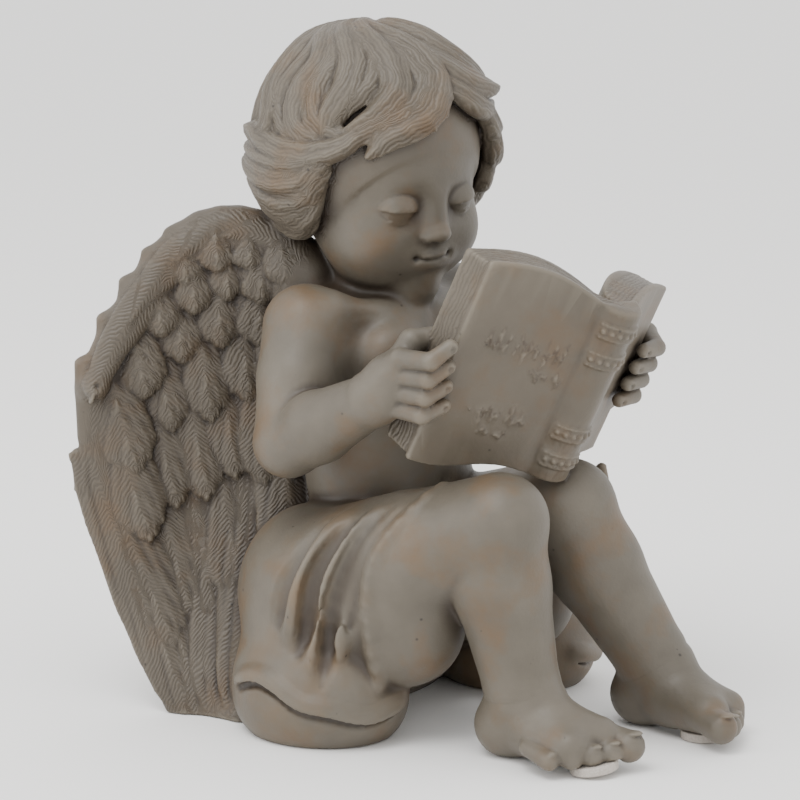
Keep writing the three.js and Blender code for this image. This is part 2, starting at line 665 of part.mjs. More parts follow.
// The figure in clay, finished flat underneath
const reach = place(76, 0, 0).x;
const room = new THREE.Box3(
  new THREE.Vector3(-reach, place(0, -112, 0).y, -2.0 * cell),
  new THREE.Vector3(reach, place(0, 92, 0).y, place(0, 0, 206).z),
);
function figureClay() {
  const figure = new Clay(room.min, room.max);
  torsoForm(figure);
  seatForm(figure);
  for (const side of ["right", "left"]) {
    armForm(figure, side);
    legForm(figure, side);
    clothForm(figure, side);
    footForm(figure, side);
    handForm(figure, side);
  }
  figure.join(headForm(new Clay(room.min, room.max)), 3);
  figure.join(hairForm(new Clay(room.min, room.max)), 0.8);
  const wing = new Clay(room.min, room.max);
  wingForm(wing);
  figure.join(wing, 2);
  figure.join(mirroredClay(wing), 2);
  const ground = new THREE.Vector3(0, 0, -0.4 * cell);
  figure.cut(beyondPlane(ground, new THREE.Vector3(0, 0, -1), new THREE.Box3(
    room.min, new THREE.Vector3(room.max.x, room.max.y, place(0, 0, 6).z))));
  return figure;
}

// Skin of the clay: marching tetrahedra, which always closes
const cubeCorners = [[0, 0, 0], [1, 0, 0], [1, 1, 0], [0, 1, 0], [0, 0, 1], [1, 0, 1], [1, 1, 1], [0, 1, 1]];
const tetrahedra = [[0, 5, 1, 6], [0, 1, 2, 6], [0, 2, 3, 6], [0, 3, 7, 6], [0, 7, 4, 6], [0, 4, 5, 6]];
function skinOf(clay) {
  const points = [];
  const faces = [];
  const known = new Map();
  const [nx, ny, nz] = clay.size;
  const total = nx * ny * nz;
  const spot = (at) => [at % nx, Math.floor(at / nx) % ny, Math.floor(at / (nx * ny))];
  const crossing = (p, q) => {
    const [a, b] = p < q ? [p, q] : [q, p];
    const key = a * total + b;
    if (!known.has(key)) {
      const t = Math.min(0.97, Math.max(0.03, clay.values[a] / (clay.values[a] - clay.values[b])));
      const [from, to] = [spot(a), spot(b)];
      known.set(key, points.length / 3);
      for (let i = 0; i < 3; i++) points.push(clay.low.getComponent(i) + cell * mix(from[i], to[i], t));
    }
    return known.get(key);
  };
  // a facet between three crossings; its outward side is told by where they would be half way
  const facet = (ends) => {
    const [p, q, r] = ends.map(([inner, outer]) => new THREE.Vector3(
      ...spot(inner).map((v, i) => v + spot(outer)[i])));
    const way = new THREE.Vector3(...spot(ends[0][1]).map((v, i) => v - spot(ends[0][0])[i]));
    const outward = q.sub(p).cross(r.sub(p)).dot(way) > 0;
    const [a, b, c] = ends.map(([inner, outer]) => crossing(inner, outer));
    faces.push(...(outward ? [a, b, c] : [a, c, b]));
  };
  for (let k = 0; k < nz - 1; k++) {
    for (let j = 0; j < ny - 1; j++) {
      for (let i = 0; i < nx - 1; i++) {
        const corners = cubeCorners.map(([x, y, z]) => clay.index(i + x, j + y, k + z));
        const inside = corners.filter((at) => clay.values[at] < 0).length;
        if (inside === 0 || inside === 8) continue;
        for (const tetrahedron of tetrahedra) {
          const ends = tetrahedron.map((n) => corners[n]);
          const within = ends.filter((at) => clay.values[at] < 0);
          const without = ends.filter((at) => clay.values[at] >= 0);
          if (within.length === 1) {
            facet(without.map((outer) => [within[0], outer]));
          } else if (without.length === 1) {
            facet(within.map((inner) => [inner, without[0]]));
          } else if (within.length === 2) {
            const [[s, t], [u, v]] = [within, without];
            facet([[s, u], [s, v], [t, v]]);
            facet([[s, u], [t, v], [t, u]]);
          }
        }
      }
    }
  }
  return { points, faces };
}

// Only the largest closed skin is wanted: small pockets that soft joins leave inside are dropped
function largestSkin({ points, faces }) {
  const leader = Int32Array.from({ length: points.length / 3 }, (_, i) => i);
  const find = (n) => {
    while (leader[n] !== n) n = leader[n] = leader[leader[n]];
    return n;
  };
  for (let f = 0; f < faces.length; f += 3) {
    leader[find(faces[f + 1])] = find(faces[f]);
    leader[find(faces[f + 2])] = find(faces[f]);
  }
  const sizes = new Map();
  for (const n of faces) sizes.set(find(n), (sizes.get(find(n)) ?? 0) + 1);
  const [largest] = [...sizes].reduce((x, y) => (y[1] > x[1] ? y : x));
  return { points, faces: faces.filter((n) => find(n) === largest) };
}

// Fewer, larger facets: the edge whose loss changes the form least goes first, and the skin stays closed.
// Each corner carries the sum of squared distances to the planes round it, as ten terms.
function simplified({ points, faces }, budget) {
  const p = Float64Array.from(points);
  const tri = Int32Array.from(faces);
  const quadric = new Float64Array((p.length / 3) * 10);
  const around = Array.from({ length: p.length / 3 }, () => []);
  const alive = new Uint8Array(tri.length / 3).fill(1);
  const stamp = new Int32Array(p.length / 3);
  for (let f = 0; f < tri.length; f += 3) {
    const [a, b, c] = [tri[f], tri[f + 1], tri[f + 2]];
    const [ux, uy, uz] = [p[3 * b] - p[3 * a], p[3 * b + 1] - p[3 * a + 1], p[3 * b + 2] - p[3 * a + 2]];
    const [vx, vy, vz] = [p[3 * c] - p[3 * a], p[3 * c + 1] - p[3 * a + 1], p[3 * c + 2] - p[3 * a + 2]];
    const normal = [uy * vz - uz * vy, uz * vx - ux * vz, ux * vy - uy * vx];
    const size = Math.hypot(...normal) || 1e-12;
    const [x, y, z] = normal.map((v) => v / size);
    const d = -(x * p[3 * a] + y * p[3 * a + 1] + z * p[3 * a + 2]);
    const terms = [x * x, x * y, x * z, x * d, y * y, y * z, y * d, z * z, z * d, d * d];
    for (const n of [a, b, c]) {
      around[n].push(f / 3);
      for (let i = 0; i < 10; i++) quadric[10 * n + i] += terms[i] * size;
    }
  }

  // where the two ends of an edge should meet, and what that costs
  const q = new Float64Array(10);
  const meet = new Float64Array(3);
  const costAt = (x, y, z) => q[0] * x * x + 2 * q[1] * x * y + 2 * q[2] * x * z + 2 * q[3] * x +
    q[4] * y * y + 2 * q[5] * y * z + 2 * q[6] * y + q[7] * z * z + 2 * q[8] * z + q[9];
  const meeting = (a, b) => {
    for (let i = 0; i < 10; i++) q[i] = quadric[10 * a + i] + quadric[10 * b + i];
    const [ax, ay, az] = [p[3 * a], p[3 * a + 1], p[3 * a + 2]];
    const [bx, by, bz] = [p[3 * b], p[3 * b + 1], p[3 * b + 2]];
    const length2 = (bx - ax) ** 2 + (by - ay) ** 2 + (bz - az) ** 2;
    let cost = Infinity;
    const consider = (x, y, z) => {
      const price = costAt(x, y, z);
      if (price < cost) {
        cost = price;
        meet[0] = x;
        meet[1] = y;
        meet[2] = z;
      }
    };
    const [mx, my, mz] = [(ax + bx) / 2, (ay + by) / 2, (az + bz) / 2];
    const ridge = 1e-3 * (q[0] + q[4] + q[7]);
    const [xx, yy, zz] = [q[0] + ridge, q[4] + ridge, q[7] + ridge];
    const [rx, ry, rz] = [ridge * mx - q[3], ridge * my - q[6], ridge * mz - q[8]];
    const [m0, m1, m2] = [yy * zz - q[5] * q[5], q[2] * q[5] - q[1] * zz, q[1] * q[5] - q[2] * yy];
    const det = xx * m0 + q[1] * m1 + q[2] * m2;
    const x = (m0 * rx + m1 * ry + m2 * rz) / det;
    const y = (m1 * rx + (xx * zz - q[2] * q[2]) * ry + (q[1] * q[2] - xx * q[5]) * rz) / det;
    const z = (m2 * rx + (q[1] * q[2] - xx * q[5]) * ry + (xx * yy - q[1] * q[1]) * rz) / det;
    if ((x - mx) ** 2 + (y - my) ** 2 + (z - mz) ** 2 < 4 * length2) consider(x, y, z);
    consider(mx, my, mz);
    consider(ax, ay, az);
    consider(bx, by, bz);
    return cost + 1e-3 * length2;
  };

  // a waiting line with the cheapest edge in front
  const line = [];
  const swap = (i, j) => { [line[i], line[j]] = [line[j], line[i]]; };
  const offer = (a, b) => {
    let i = line.push([meeting(a, b), a, b, stamp[a] + stamp[b]]) - 1;
    for (let up = (i - 1) >> 1; i > 0 && line[i][0] < line[up][0]; up = (i - 1) >> 1) {
      swap(i, up);
      i = up;
    }
  };
  const cheapest = () => {
    const first = line[0];
    const last = line.pop();
    if (line.length === 0) return first;
    line[0] = last;
    for (let i = 0, down = 1; down < line.length; down = 2 * i + 1) {
      if (down + 1 < line.length && line[down + 1][0] < line[down][0]) down++;
      if (line[i][0] <= line[down][0]) break;
      swap(i, down);
      i = down;
    }
    return first;
  };

  const neighbours = (n) => {
    const found = new Set();
    for (const f of around[n]) for (let i = 3 * f; i < 3 * f + 3; i++) if (tri[i] !== n) found.add(tri[i]);
    return found;
  };
  const hasFace = (a, b, c) => around[a].some((f) => {
    const ends = [tri[3 * f], tri[3 * f + 1], tri[3 * f + 2]];
    return ends.includes(b) && ends.includes(c);
  });
  // would moving a corner turn a facet over, or leave it a sliver
  const spoils = (n, gone) => around[n].some((f) => {
    const [a, b, c] = [tri[3 * f], tri[3 * f + 1], tri[3 * f + 2]];
    if (a === gone || b === gone || c === gone) return false;
    const [s, t] = a === n ? [b, c] : b === n ? [c, a] : [a, b];
    const [ex, ey, ez] = [p[3 * t] - p[3 * s], p[3 * t + 1] - p[3 * s + 1], p[3 * t + 2] - p[3 * s + 2]];
    const [ux, uy, uz] = [p[3 * n] - p[3 * s], p[3 * n + 1] - p[3 * s + 1], p[3 * n + 2] - p[3 * s + 2]];
    const [vx, vy, vz] = [meet[0] - p[3 * s], meet[1] - p[3 * s + 1], meet[2] - p[3 * s + 2]];
    const [bx, by, bz] = [ey * uz - ez * uy, ez * ux - ex * uz, ex * uy - ey * ux];
    const [nx, ny, nz] = [ey * vz - ez * vy, ez * vx - ex * vz, ex * vy - ey * vx];
    const now = nx * nx + ny * ny + nz * nz;
    const dot = bx * nx + by * ny + bz * nz;
    const before = bx * bx + by * by + bz * bz;
    const longest = Math.max(ex * ex + ey * ey + ez * ez, vx * vx + vy * vy + vz * vz);
    const longestBefore = Math.max(ex * ex + ey * ey + ez * ez, ux * ux + uy * uy + uz * uz);
    const slim = Math.min(0.001, before / longestBefore ** 2);
    return dot < 0 || dot * dot < 0.04 * now * before || now < slim * longest * longest;
  });

  const mayMeet = (a, b, ring) => {
    const shared = [...neighbours(b)].filter((n) => ring.has(n));
    if (shared.length !== 2 || (hasFace(a, ...shared) && hasFace(b, ...shared))) return false;
    meeting(a, b);
    return !spoils(a, b) && !spoils(b, a);
  };
  const join = (a, b, ring) => {
    p.set(meet, 3 * a);
    for (let i = 0; i < 10; i++) quadric[10 * a + i] += quadric[10 * b + i];
    for (const f of around[b]) {
      const i = [0, 1, 2].find((n) => tri[3 * f + n] === b);
      tri[3 * f + i] = a;
      if (around[a].includes(f)) alive[f] = 0;
      else around[a].push(f);
    }
    for (const n of ring) around[n] = around[n].filter((f) => alive[f]);
    around[a] = around[a].filter((f) => alive[f]);
    around[b] = [];
    stamp[a]++;
    stamp[b]++;
  };

  // rounds of joining, each with a higher price limit, so that an edge that may not go yet is tried again
  let left = alive.length;
  const firstLimit = 0.02 * unit ** 4;
  const rounds = 16;
  for (let round = 0, limit = firstLimit; round < rounds && left > budget; round++, limit *= 2) {
    const offerBelow = (a, b) => {
      if (meeting(a, b) < limit) offer(a, b);
    };
    line.length = 0;
    for (let n = 0; n < around.length; n++) {
      for (const other of neighbours(n)) if (other > n) offerBelow(n, other);
    }
    while (left > budget && line.length > 0) {
      const [, a, b, stamps] = cheapest();
      if (stamps !== stamp[a] + stamp[b]) continue;
      const ring = neighbours(a);
      if (!ring.has(b) || !mayMeet(a, b, ring)) continue;
      join(a, b, ring);
      left -= 2;
      for (const n of neighbours(a)) offerBelow(a, n);
    }
  }
  const geometry = new THREE.BufferGeometry();
  geometry.setAttribute("position", new THREE.Float32BufferAttribute(p, 3));
  geometry.setIndex(Array.from(tri).filter((_, i) => alive[Math.floor(i / 3)]));
  return geometry;
}

// Solids and geometries
const wasm = await Module();
wasm.setup();
function solidOf(geometry) {
  const bare = geometry.clone();
  bare.deleteAttribute("normal");
  bare.deleteAttribute("uv");
  const merged = mergeVertices(bare, 1e-4);
  return new wasm.Manifold(new wasm.Mesh({
    numProp: 3,
    vertProperties: Float32Array.from(merged.attributes.position.array),
    triVerts: Uint32Array.from(merged.index.array),
  }));
}
function geometryOf(solid) {
  const mesh = solid.getMesh();
  const { faces } = largestSkin({ points: mesh.vertProperties, faces: Array.from(mesh.triVerts) });
  const geometry = new THREE.BufferGeometry();
  geometry.setAttribute("position", new THREE.Float32BufferAttribute(mesh.vertProperties, 3));
  geometry.setIndex(faces);
  geometry.computeVertexNormals();
  return geometry;
}

function named(name, geometry, material) {
  const mesh = new THREE.Mesh(geometry, material);
  mesh.name = name;
  return mesh;
}

// The sole is flat over each pad and parallel to it, and the pad hangs just clear of it
function padMatrix(side, lift) {
  const tilt = padTilt[side];
  const rise = (padDiameter / 2) * Math.sin(tilt) + (padThickness / 2) * Math.cos(tilt);
  const turn = new THREE.Matrix4().makeRotationAxis(new THREE.Vector3(0.77, 0.64, 0).normalize(), -tilt);
  const foot = padPlace(side).setZ(rise);
  return new THREE.Matrix4().setPosition(foot).multiply(turn)
    .multiply(new THREE.Matrix4().makeTranslation(0, 0, lift));
}

const soleCutDepth = 8 * unit;
function casting() {
  let solid = solidOf(simplified(largestSkin(skinOf(figureClay())), facetBudget));
  const table = new THREE.BoxGeometry(3 * room.max.x, 3 * room.max.y, 4 * cell).translate(0, 0, -2 * cell);
  solid = solid.subtract(solidOf(table));
  for (const piece of bookPieces()) solid = solid.add(solidOf(piece));
  for (const side of ["right", "left"]) {
    const flat = new THREE.CylinderGeometry(padDiameter / 2 + 1, padDiameter / 2 + 1, soleCutDepth, 24);
    flat.rotateX(Math.PI / 2);
    const top = padThickness / 2 + glueGap;
    solid = solid.subtract(solidOf(flat.applyMatrix4(padMatrix(side, top - soleCutDepth / 2))));
  }
  return named("angel_casting", geometryOf(solid), resin);
}

function footPad(side) {
  const disc = new THREE.CylinderGeometry(padDiameter / 2, padDiameter / 2, padThickness, 28);
  const pad = named(`${side}_foot_pad`, disc.rotateX(Math.PI / 2), foam);
  pad.applyMatrix4(padMatrix(side, 0));
  return pad;
}

const angel = new THREE.Group();
angel.add(casting(), footPad("right"), footPad("left"));
export default angel;
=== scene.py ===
import math

import bpy
import numpy as np
import openvdb
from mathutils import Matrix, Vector


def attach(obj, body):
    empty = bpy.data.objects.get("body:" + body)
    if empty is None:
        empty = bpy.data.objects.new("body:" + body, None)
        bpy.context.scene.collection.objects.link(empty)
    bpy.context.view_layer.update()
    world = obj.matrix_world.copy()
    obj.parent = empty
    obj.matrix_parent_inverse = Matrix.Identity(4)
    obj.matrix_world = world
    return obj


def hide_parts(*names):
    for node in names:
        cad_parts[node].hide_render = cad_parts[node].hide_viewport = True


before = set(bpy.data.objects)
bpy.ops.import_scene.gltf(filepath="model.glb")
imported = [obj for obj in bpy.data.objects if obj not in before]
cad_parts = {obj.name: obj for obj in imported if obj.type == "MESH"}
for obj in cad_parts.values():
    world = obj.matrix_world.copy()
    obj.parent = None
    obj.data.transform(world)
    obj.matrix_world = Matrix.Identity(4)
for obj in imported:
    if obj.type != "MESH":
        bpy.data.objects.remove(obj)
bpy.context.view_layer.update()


# Torso and seat
# The child sits naked to the hips. It is cast in filled resin in one mould with everything it carries, so the
# whole figure is first built up as clay: signed distances in millimetres on a fine grid.

CELL = 0.58
FAR = 14.0
ROOM_LOW = np.array([-72.0, -106.0, -2.5 * CELL])
ROOM_HIGH = np.array([72.0, 76.0, 201.0])
ROOM = np.ceil((ROOM_HIGH - ROOM_LOW) / CELL).astype(int) + 1
ROOM[0] += 1 - ROOM[0] % 2
ROOM_LOW[0] = -CELL * (ROOM[0] - 1) / 2


def soft_min(a, b, fillet):
    if fillet <= 0:
        return np.minimum(a, b)
    h = np.maximum(fillet - np.abs(a - b), 0) / fillet
    return np.minimum(a, b) - h * h * (fillet / 4)


class Clay:
    """Signed distances on the room's grid; shapes are pressed on with a soft fillet or cut away."""

    def __init__(self):
        self.values = np.full(ROOM, FAR, np.float32)

    def window(self, shape, fillet):
        margin = fillet + 2
        low = np.floor((shape.low - margin - ROOM_LOW) / CELL).astype(int).clip(0, ROOM)
        high = np.ceil((shape.high + margin - ROOM_LOW) / CELL).astype(int).clip(0, ROOM)
        axes = [(ROOM_LOW[i] + CELL * np.arange(low[i], high[i])).astype(np.float32) for i in range(3)]
        where = tuple(slice(low[i], high[i]) for i in range(3))
        return where, axes[0][:, None, None], axes[1][None, :, None], axes[2][None, None, :]

    def add(self, shape, fillet=0):
        where, x, y, z = self.window(shape, fillet)
        self.values[where] = soft_min(self.values[where], shape.distance(x, y, z), fillet)

    def cut(self, shape, fillet=0):
        where, x, y, z = self.window(shape, fillet)
        self.values[where] = -soft_min(-self.values[where], shape.distance(x, y, z), fillet)

    def join(self, other, fillet=0):
        self.values = soft_min(self.values, other.values, fillet)


class Shape:
    def __init__(self, points, reach, distance):
        points = np.array(points, float)
        self.low = points.min(axis=0) - reach
        self.high = points.max(axis=0) + reach
        self.distance = distance


def limb(a, b, radius_a, radius_b):
    """A tapered form with round ends, as between two joints."""
    a, b = np.array(a, float), np.array(b, float)
    axis = b - a
    length2 = axis @ axis
    taper = radius_a - radius_b
    slope = length2 - taper * taper

    def distance(x, y, z):
        px, py, pz = x - a[0], y - a[1], z - a[2]
        along = px * axis[0] + py * axis[1] + pz * axis[2]
        beyond = along - length2
        across2 = np.maximum(length2 * (px * px + py * py + pz * pz) - along * along, 0) * length2
        along2 = along * along * length2
        beyond2 = beyond * beyond * length2
        side = math.copysign(taper * taper, taper) * across2
        round_b = np.sqrt(across2 + beyond2) / length2 - radius_b
        round_a = np.sqrt(across2 + along2) / length2 - radius_a
        middle = (np.sqrt(across2 * (slope / length2)) + along * taper) / length2 - radius_a
        middle = np.where(np.sign(along) * slope * along2 < side, round_a, middle)
        return np.where(np.sign(beyond) * slope * beyond2 > side, round_b, middle)

    return Shape([a, b], max(radius_a, radius_b), distance)


def mass(centre, radii, turn=np.eye(3)):
    """A rounded mass with three radii, turned as a whole."""
    centre, r = np.array(centre, float), np.array(radii, float)

    def distance(x, y, z):
        px, py, pz = x - centre[0], y - centre[1], z - centre[2]
        q = [turn[0, i] * px + turn[1, i] * py + turn[2, i] * pz for i in range(3)]
        k0 = np.sqrt((q[0] / r[0]) ** 2 + (q[1] / r[1]) ** 2 + (q[2] / r[2]) ** 2)
        k1 = np.sqrt((q[0] / r[0] ** 2) ** 2 + (q[1] / r[1] ** 2) ** 2 + (q[2] / r[2] ** 2) ** 2)
        return k0 * (k0 - 1) / np.maximum(k1, 1e-6)

    return Shape([centre], r.max(), distance)


def turned(x=0, y=0, z=0):
    """Turns about X, then Y, then Z, in degrees."""
    cx, cy, cz = (math.cos(math.radians(v)) for v in (x, y, z))
    sx, sy, sz = (math.sin(math.radians(v)) for v in (x, y, z))
    about_x = np.array([[1, 0, 0], [0, cx, -sx], [0, sx, cx]])
    about_y = np.array([[cy, 0, sy], [0, 1, 0], [-sy, 0, cy]])
    about_z = np.array([[cz, -sz, 0], [sz, cz, 0], [0, 0, 1]])
    return about_z @ about_y @ about_x


def mix(a, b, t):
    return a + (b - a) * t


def unit(v):
    return v / np.linalg.norm(v)


def within(shape, point, normal):
    """The part of a shape that lies behind a plane."""
    n = unit(np.array(normal, float))

    def distance(x, y, z):
        beyond = (x - point[0]) * n[0] + (y - point[1]) * n[1] + (z - point[2]) * n[2]
        return np.maximum(shape.distance(x, y, z), beyond)

    return Shape([shape.low, shape.high], 0, distance)


SIDES = {"right": -1, "left": 1}
HEAD_CENTRE = np.array([-3, 9, 157])
HEAD_TURN = turned(16, -5, -14)
HEAD_SCALE = 1.1


def on_head(x, y, z):
    return HEAD_TURN @ (np.array([x, y, z]) * HEAD_SCALE) + HEAD_CENTRE


skin = Clay()
skin.add(mass((0, 9, 100), (30, 19, 24)))
skin.add(mass((0, 8, 70), (28, 20.5, 26)), 12)
skin.add(mass((0, 10, 34), (36, 25, 26)), 10)
skin.add(limb((0, 11, 108), on_head(0, 4, -20), 15, 12), 8)
for s in SIDES.values():
    skin.add(mass((s * 12, -6, 104), (12, 7, 10)), 6)
    skin.add(mass((s * 17, 20, 104), (13, 8, 16)), 6)
    skin.add(limb((s * 4, -6, 114), (s * 27, 3, 118), 2.6, 2.2), 5)
    skin.cut(mass((s * 13, -14.6, 100), (1.3, 1.3, 1.3)), 2)
skin.cut(limb((0, 31, 62), (0, 32, 112), 2, 2), 7)
skin.cut(limb((0, -17, 90), (0, -16, 112), 1.2, 1.0), 6)
skin.cut(mass((0, -14.5, 66), (1.6, 2.4, 2.2)), 2.5)
skin.add(mass((0, 22, 16), (46, 20, 22)), 6)
skin.add(mass((0, 14, 12), (40, 15, 16)), 4)


# Arms and legs
# Chubby limbs with a crease at each wrist and ankle, cast with the torso.

ARMS = {
    "right": {"shoulder": (-31, 12, 112), "elbow": (-45, 6, 82), "wrist": (-46, -26, 98)},
    "left": {"shoulder": (31, 7, 112), "elbow": (49, -12, 80), "wrist": (43, -40, 94)},
}
LEGS = {
    "right": {"root": (-32, 2, 37), "knee": (-31, -57, 66), "ankle": (-24, -60, 18)},
    "left": {"root": (30, 0, 37), "knee": (9, -50, 63), "ankle": (24, -70, 18)},
}
FEET = {
    "right": {"heel": (-24, -55, 0), "way": (0, -1, 0), "outer": -1},
    "left": {"heel": (25, -65, 0), "way": (-0.08, -1, 0), "outer": 1},
}
FOOT_LENGTH = 38
TOE_RADII = (4.6, 3.6, 3.4, 3.1, 2.8)
TOE_PITCH = 4.7
TOENAIL_RISE = 0.5


def crease(clay, a, b, t, radius, depth):
    """A fold of fat round a limb, a short way along it."""
    a, b = np.array(a, float), np.array(b, float)
    axis = unit(b - a)
    centre = mix(a, b, t)

    def distance(x, y, z):
        px, py, pz = x - centre[0], y - centre[1], z - centre[2]
        along = px * axis[0] + py * axis[1] + pz * axis[2]
        across = np.sqrt(np.maximum(px * px + py * py + pz * pz - along * along, 0))
        return np.sqrt((across - radius) ** 2 + along ** 2) - depth

    clay.cut(Shape([centre], radius + 2, distance), 2.5)


for side, s in SIDES.items():
    shoulder, elbow, wrist = (np.array(ARMS[side][n], float) for n in ("shoulder", "elbow", "wrist"))
    bulk = mix(shoulder, elbow, 0.45)
    swell = mix(elbow, wrist, 0.35)
    skin.add(limb(shoulder, bulk, 12, 11.2), 8)
    skin.add(limb(bulk, elbow, 11.2, 9.6), 2)
    skin.add(limb(elbow, swell, 9.6, 9.8), 1.5)
    skin.add(limb(swell, wrist, 9.8, 7), 2)

    root, knee, ankle = (np.array(LEGS[side][n], float) for n in ("root", "knee", "ankle"))
    thigh = mix(root, knee, 0.5)
    calf = mix(knee, ankle, 0.38) + (0, 2.5, 0)
    skin.add(limb(root, thigh, 21, 18.5), 8)
    skin.add(limb(thigh, knee, 18.5, 13.2), 3)
    skin.add(limb(knee, calf, 12.4, 13), 2)
    skin.add(limb(calf, ankle, 13, 10), 3)
    crease(skin, calf, ankle, 0.98, 10.6, 0.5)
    crease(skin, swell, wrist, 0.86, 8.4, 0.5)

    foot = FEET[side]
    forward = unit(np.array(foot["way"], float))
    out = np.cross(forward, (0, 0, 1)) * -foot["outer"]

    def at(along, across, high):
        return np.array(foot["heel"], float) + forward * along + out * across + np.array([0, 0, high])

    skin.add(mass(at(0, 0, 8.4), (8.6, 8.8, 8.4)), 4)
    skin.add(limb(ankle, at(14, 0, 12), 9.2, 7.8), 4)
    skin.add(limb(at(0, 0, 8.5), at(22, 0, 9), 8, 6.8), 4)
    skin.add(limb(at(12, -2, 9.5), at(27, -4.5, 8.6), 7.5, 5.8), 3)
    skin.add(limb(at(12, 3, 9), at(25, 6, 7.8), 7, 5.2), 3)
    for toe, radius in enumerate(TOE_RADII):
        across = -8 + toe * TOE_PITCH + (1 if toe else 0)
        reach = FOOT_LENGTH - 1.5 * toe - 0.35 * toe * toe
        high = radius + 2.2
        tip = at(reach - 3.5, across, high)
        skin.add(limb(at(reach - 12, across * 0.85, high + 1.6), tip, radius * 0.86, radius * 0.97), 0.9)
        nail = tip + forward * radius * 0.4 + (0, 0, radius * 0.86)
        skin.add(mass(nail, (radius * 0.5, radius * 0.5, TOENAIL_RISE)), 0.2)


# Head and face
# A calm child's face that bends over the book, with soft lowered lids over blank eyes, a button nose and full
# cheeks, cast with the neck. Places are given across, back and up from the middle of the head.

def head_mass(x, y, z, radii):
    return mass(on_head(x, y, z), np.array(radii) * HEAD_SCALE, HEAD_TURN)


def head_limb(a, b, radius_a, radius_b):
    return limb(on_head(*a), on_head(*b), radius_a * HEAD_SCALE, radius_b * HEAD_SCALE)


def head_arc(points, radii, press, fillet):
    """A chain of short limbs along points on the head."""
    for (a, b), (ra, rb) in zip(zip(points, points[1:]), zip(radii, radii[1:])):
        press(head_limb(a, b, ra, rb), fillet)


EYE = np.array([8.9, -21.0, -4.0])

face = Clay()
face.add(head_mass(0, 2, 2, (24.5, 28, 27)))
face.add(head_mass(0, -9, -15, (19.5, 17, 18)), 8)
for s in SIDES.values():
    face.add(head_mass(s * 11, -14, -15, (9.5, 10, 9.5)), 5)
    face.cut(head_mass(s * 9, -28.8, -3.2, (6.8, 4.9, 4.8)), 4.5)
    face.add(head_mass(s * EYE[0], EYE[1], EYE[2], (5.0, 4.1, 4.0)), 0.5)
    lid = head_mass(s * EYE[0], EYE[1] + 0.1, EYE[2] + 0.2, (5.7, 4.9, 4.8))
    edge = on_head(s * EYE[0], EYE[1] - 3, EYE[2] - 0.1)
    face.add(within(lid, edge, HEAD_TURN @ np.array([s * 0.1, -0.12, -1])), 0.3)
    lower = head_mass(s * EYE[0], EYE[1] + 0.1, EYE[2] - 0.5, (5.4, 4.5, 4.2))
    edge = on_head(s * EYE[0], EYE[1] - 3, EYE[2] - 2.6)
    face.add(within(lower, edge, HEAD_TURN @ np.array([0, -0.1, 1])), 0.5)
    face.add(head_mass(s * 2.5, -26.4, -10.8, (1.8, 2.1, 1.6)), 1.2)
    face.add(head_mass(s * 24.4, 3, -6, (2.6, 4.5, 6.5)), 1.5)
face.add(head_limb((0, -23.4, 0.5), (0, -26.2, -8), 2.3, 2.4), 4)
face.add(head_mass(0, -28.0, -9.8, (2.7, 2.6, 2.3)), 1.6)
face.add(head_mass(0, -23.0, -17.6, (7.5, 4.0, 5.0)), 3)
for s in SIDES.values():
    face.cut(head_mass(s * 1.5, -28.2, -12.0, (0.8, 1.2, 0.7)), 0.5)
    face.add(head_mass(s * 1.7, -25.8, -16.2, (2.5, 1.7, 1.2)), 1.0)
    face.cut(head_mass(s * 5.0, -26.0, -16.9, (0.8, 0.9, 0.8)), 1.4)
face.add(head_mass(0, -25.5, -18.7, (3.1, 1.9, 1.5)), 1.0)
face.cut(head_mass(0, -28.0, -14.0, (0.8, 1.0, 1.2)), 1.2)
mouth = [(x, -27.5 + 0.07 * x * x, -17.4 + 0.03 * x * x) for x in (-4.8, -2.4, 0, 2.4, 4.8)]
head_arc(mouth, (0.3, 0.4, 0.4, 0.4, 0.3), face.cut, 0.5)
face.cut(head_mass(0, -27.0, -22.0, (3.4, 1.2, 1.0)), 2)
face.add(head_mass(0, -20, -27, (6.5, 6, 5.5)), 4)
skin.join(face, 3)


# Hair
# Thick locks, cast with the head. They leave a whorl on the crown, sweep over the brow to the figure's right
# and hang round the ears and the nape. Places are in degrees down from the whorl and round to the right.

WHORL = unit(np.array([0.12, 0.3, 0.94]))
WHORL_FRONT = unit(np.array([0, -1, 0]) + WHORL * WHORL[1])
WHORL_SIDE = np.cross(WHORL_FRONT, WHORL)
SCALP = np.array([25.5, 29, 28.5])


def on_scalp(down, around, lift):
    down, around = math.radians(down), math.radians(around)
    level = WHORL_FRONT * math.cos(around) + WHORL_SIDE * math.sin(around)
    way = WHORL * math.cos(down) + math.sin(down) * level
    reach = 1 / np.linalg.norm(way / SCALP) + lift
    return on_head(*(way * reach + (0, 2, 2)))


def smooth_path(points, count):
    """A smooth line through points, by cubic spans."""
    points = np.array(points, float)
    ends = np.vstack([2 * points[0] - points[1], points, 2 * points[-1] - points[-2]])
    path = []
    for t in np.linspace(0, len(points) - 1 - 1e-9, count):
        i, u = int(t), t - int(t)
        a, b, c, d = ends[i:i + 4]
        bend = (2 * a - 5 * b + 4 * c - d) * u ** 2 + (3 * b - a - 3 * c + d) * u ** 3
        path.append(0.5 * (2 * b + (c - a) * u + bend))
    return np.array(path)


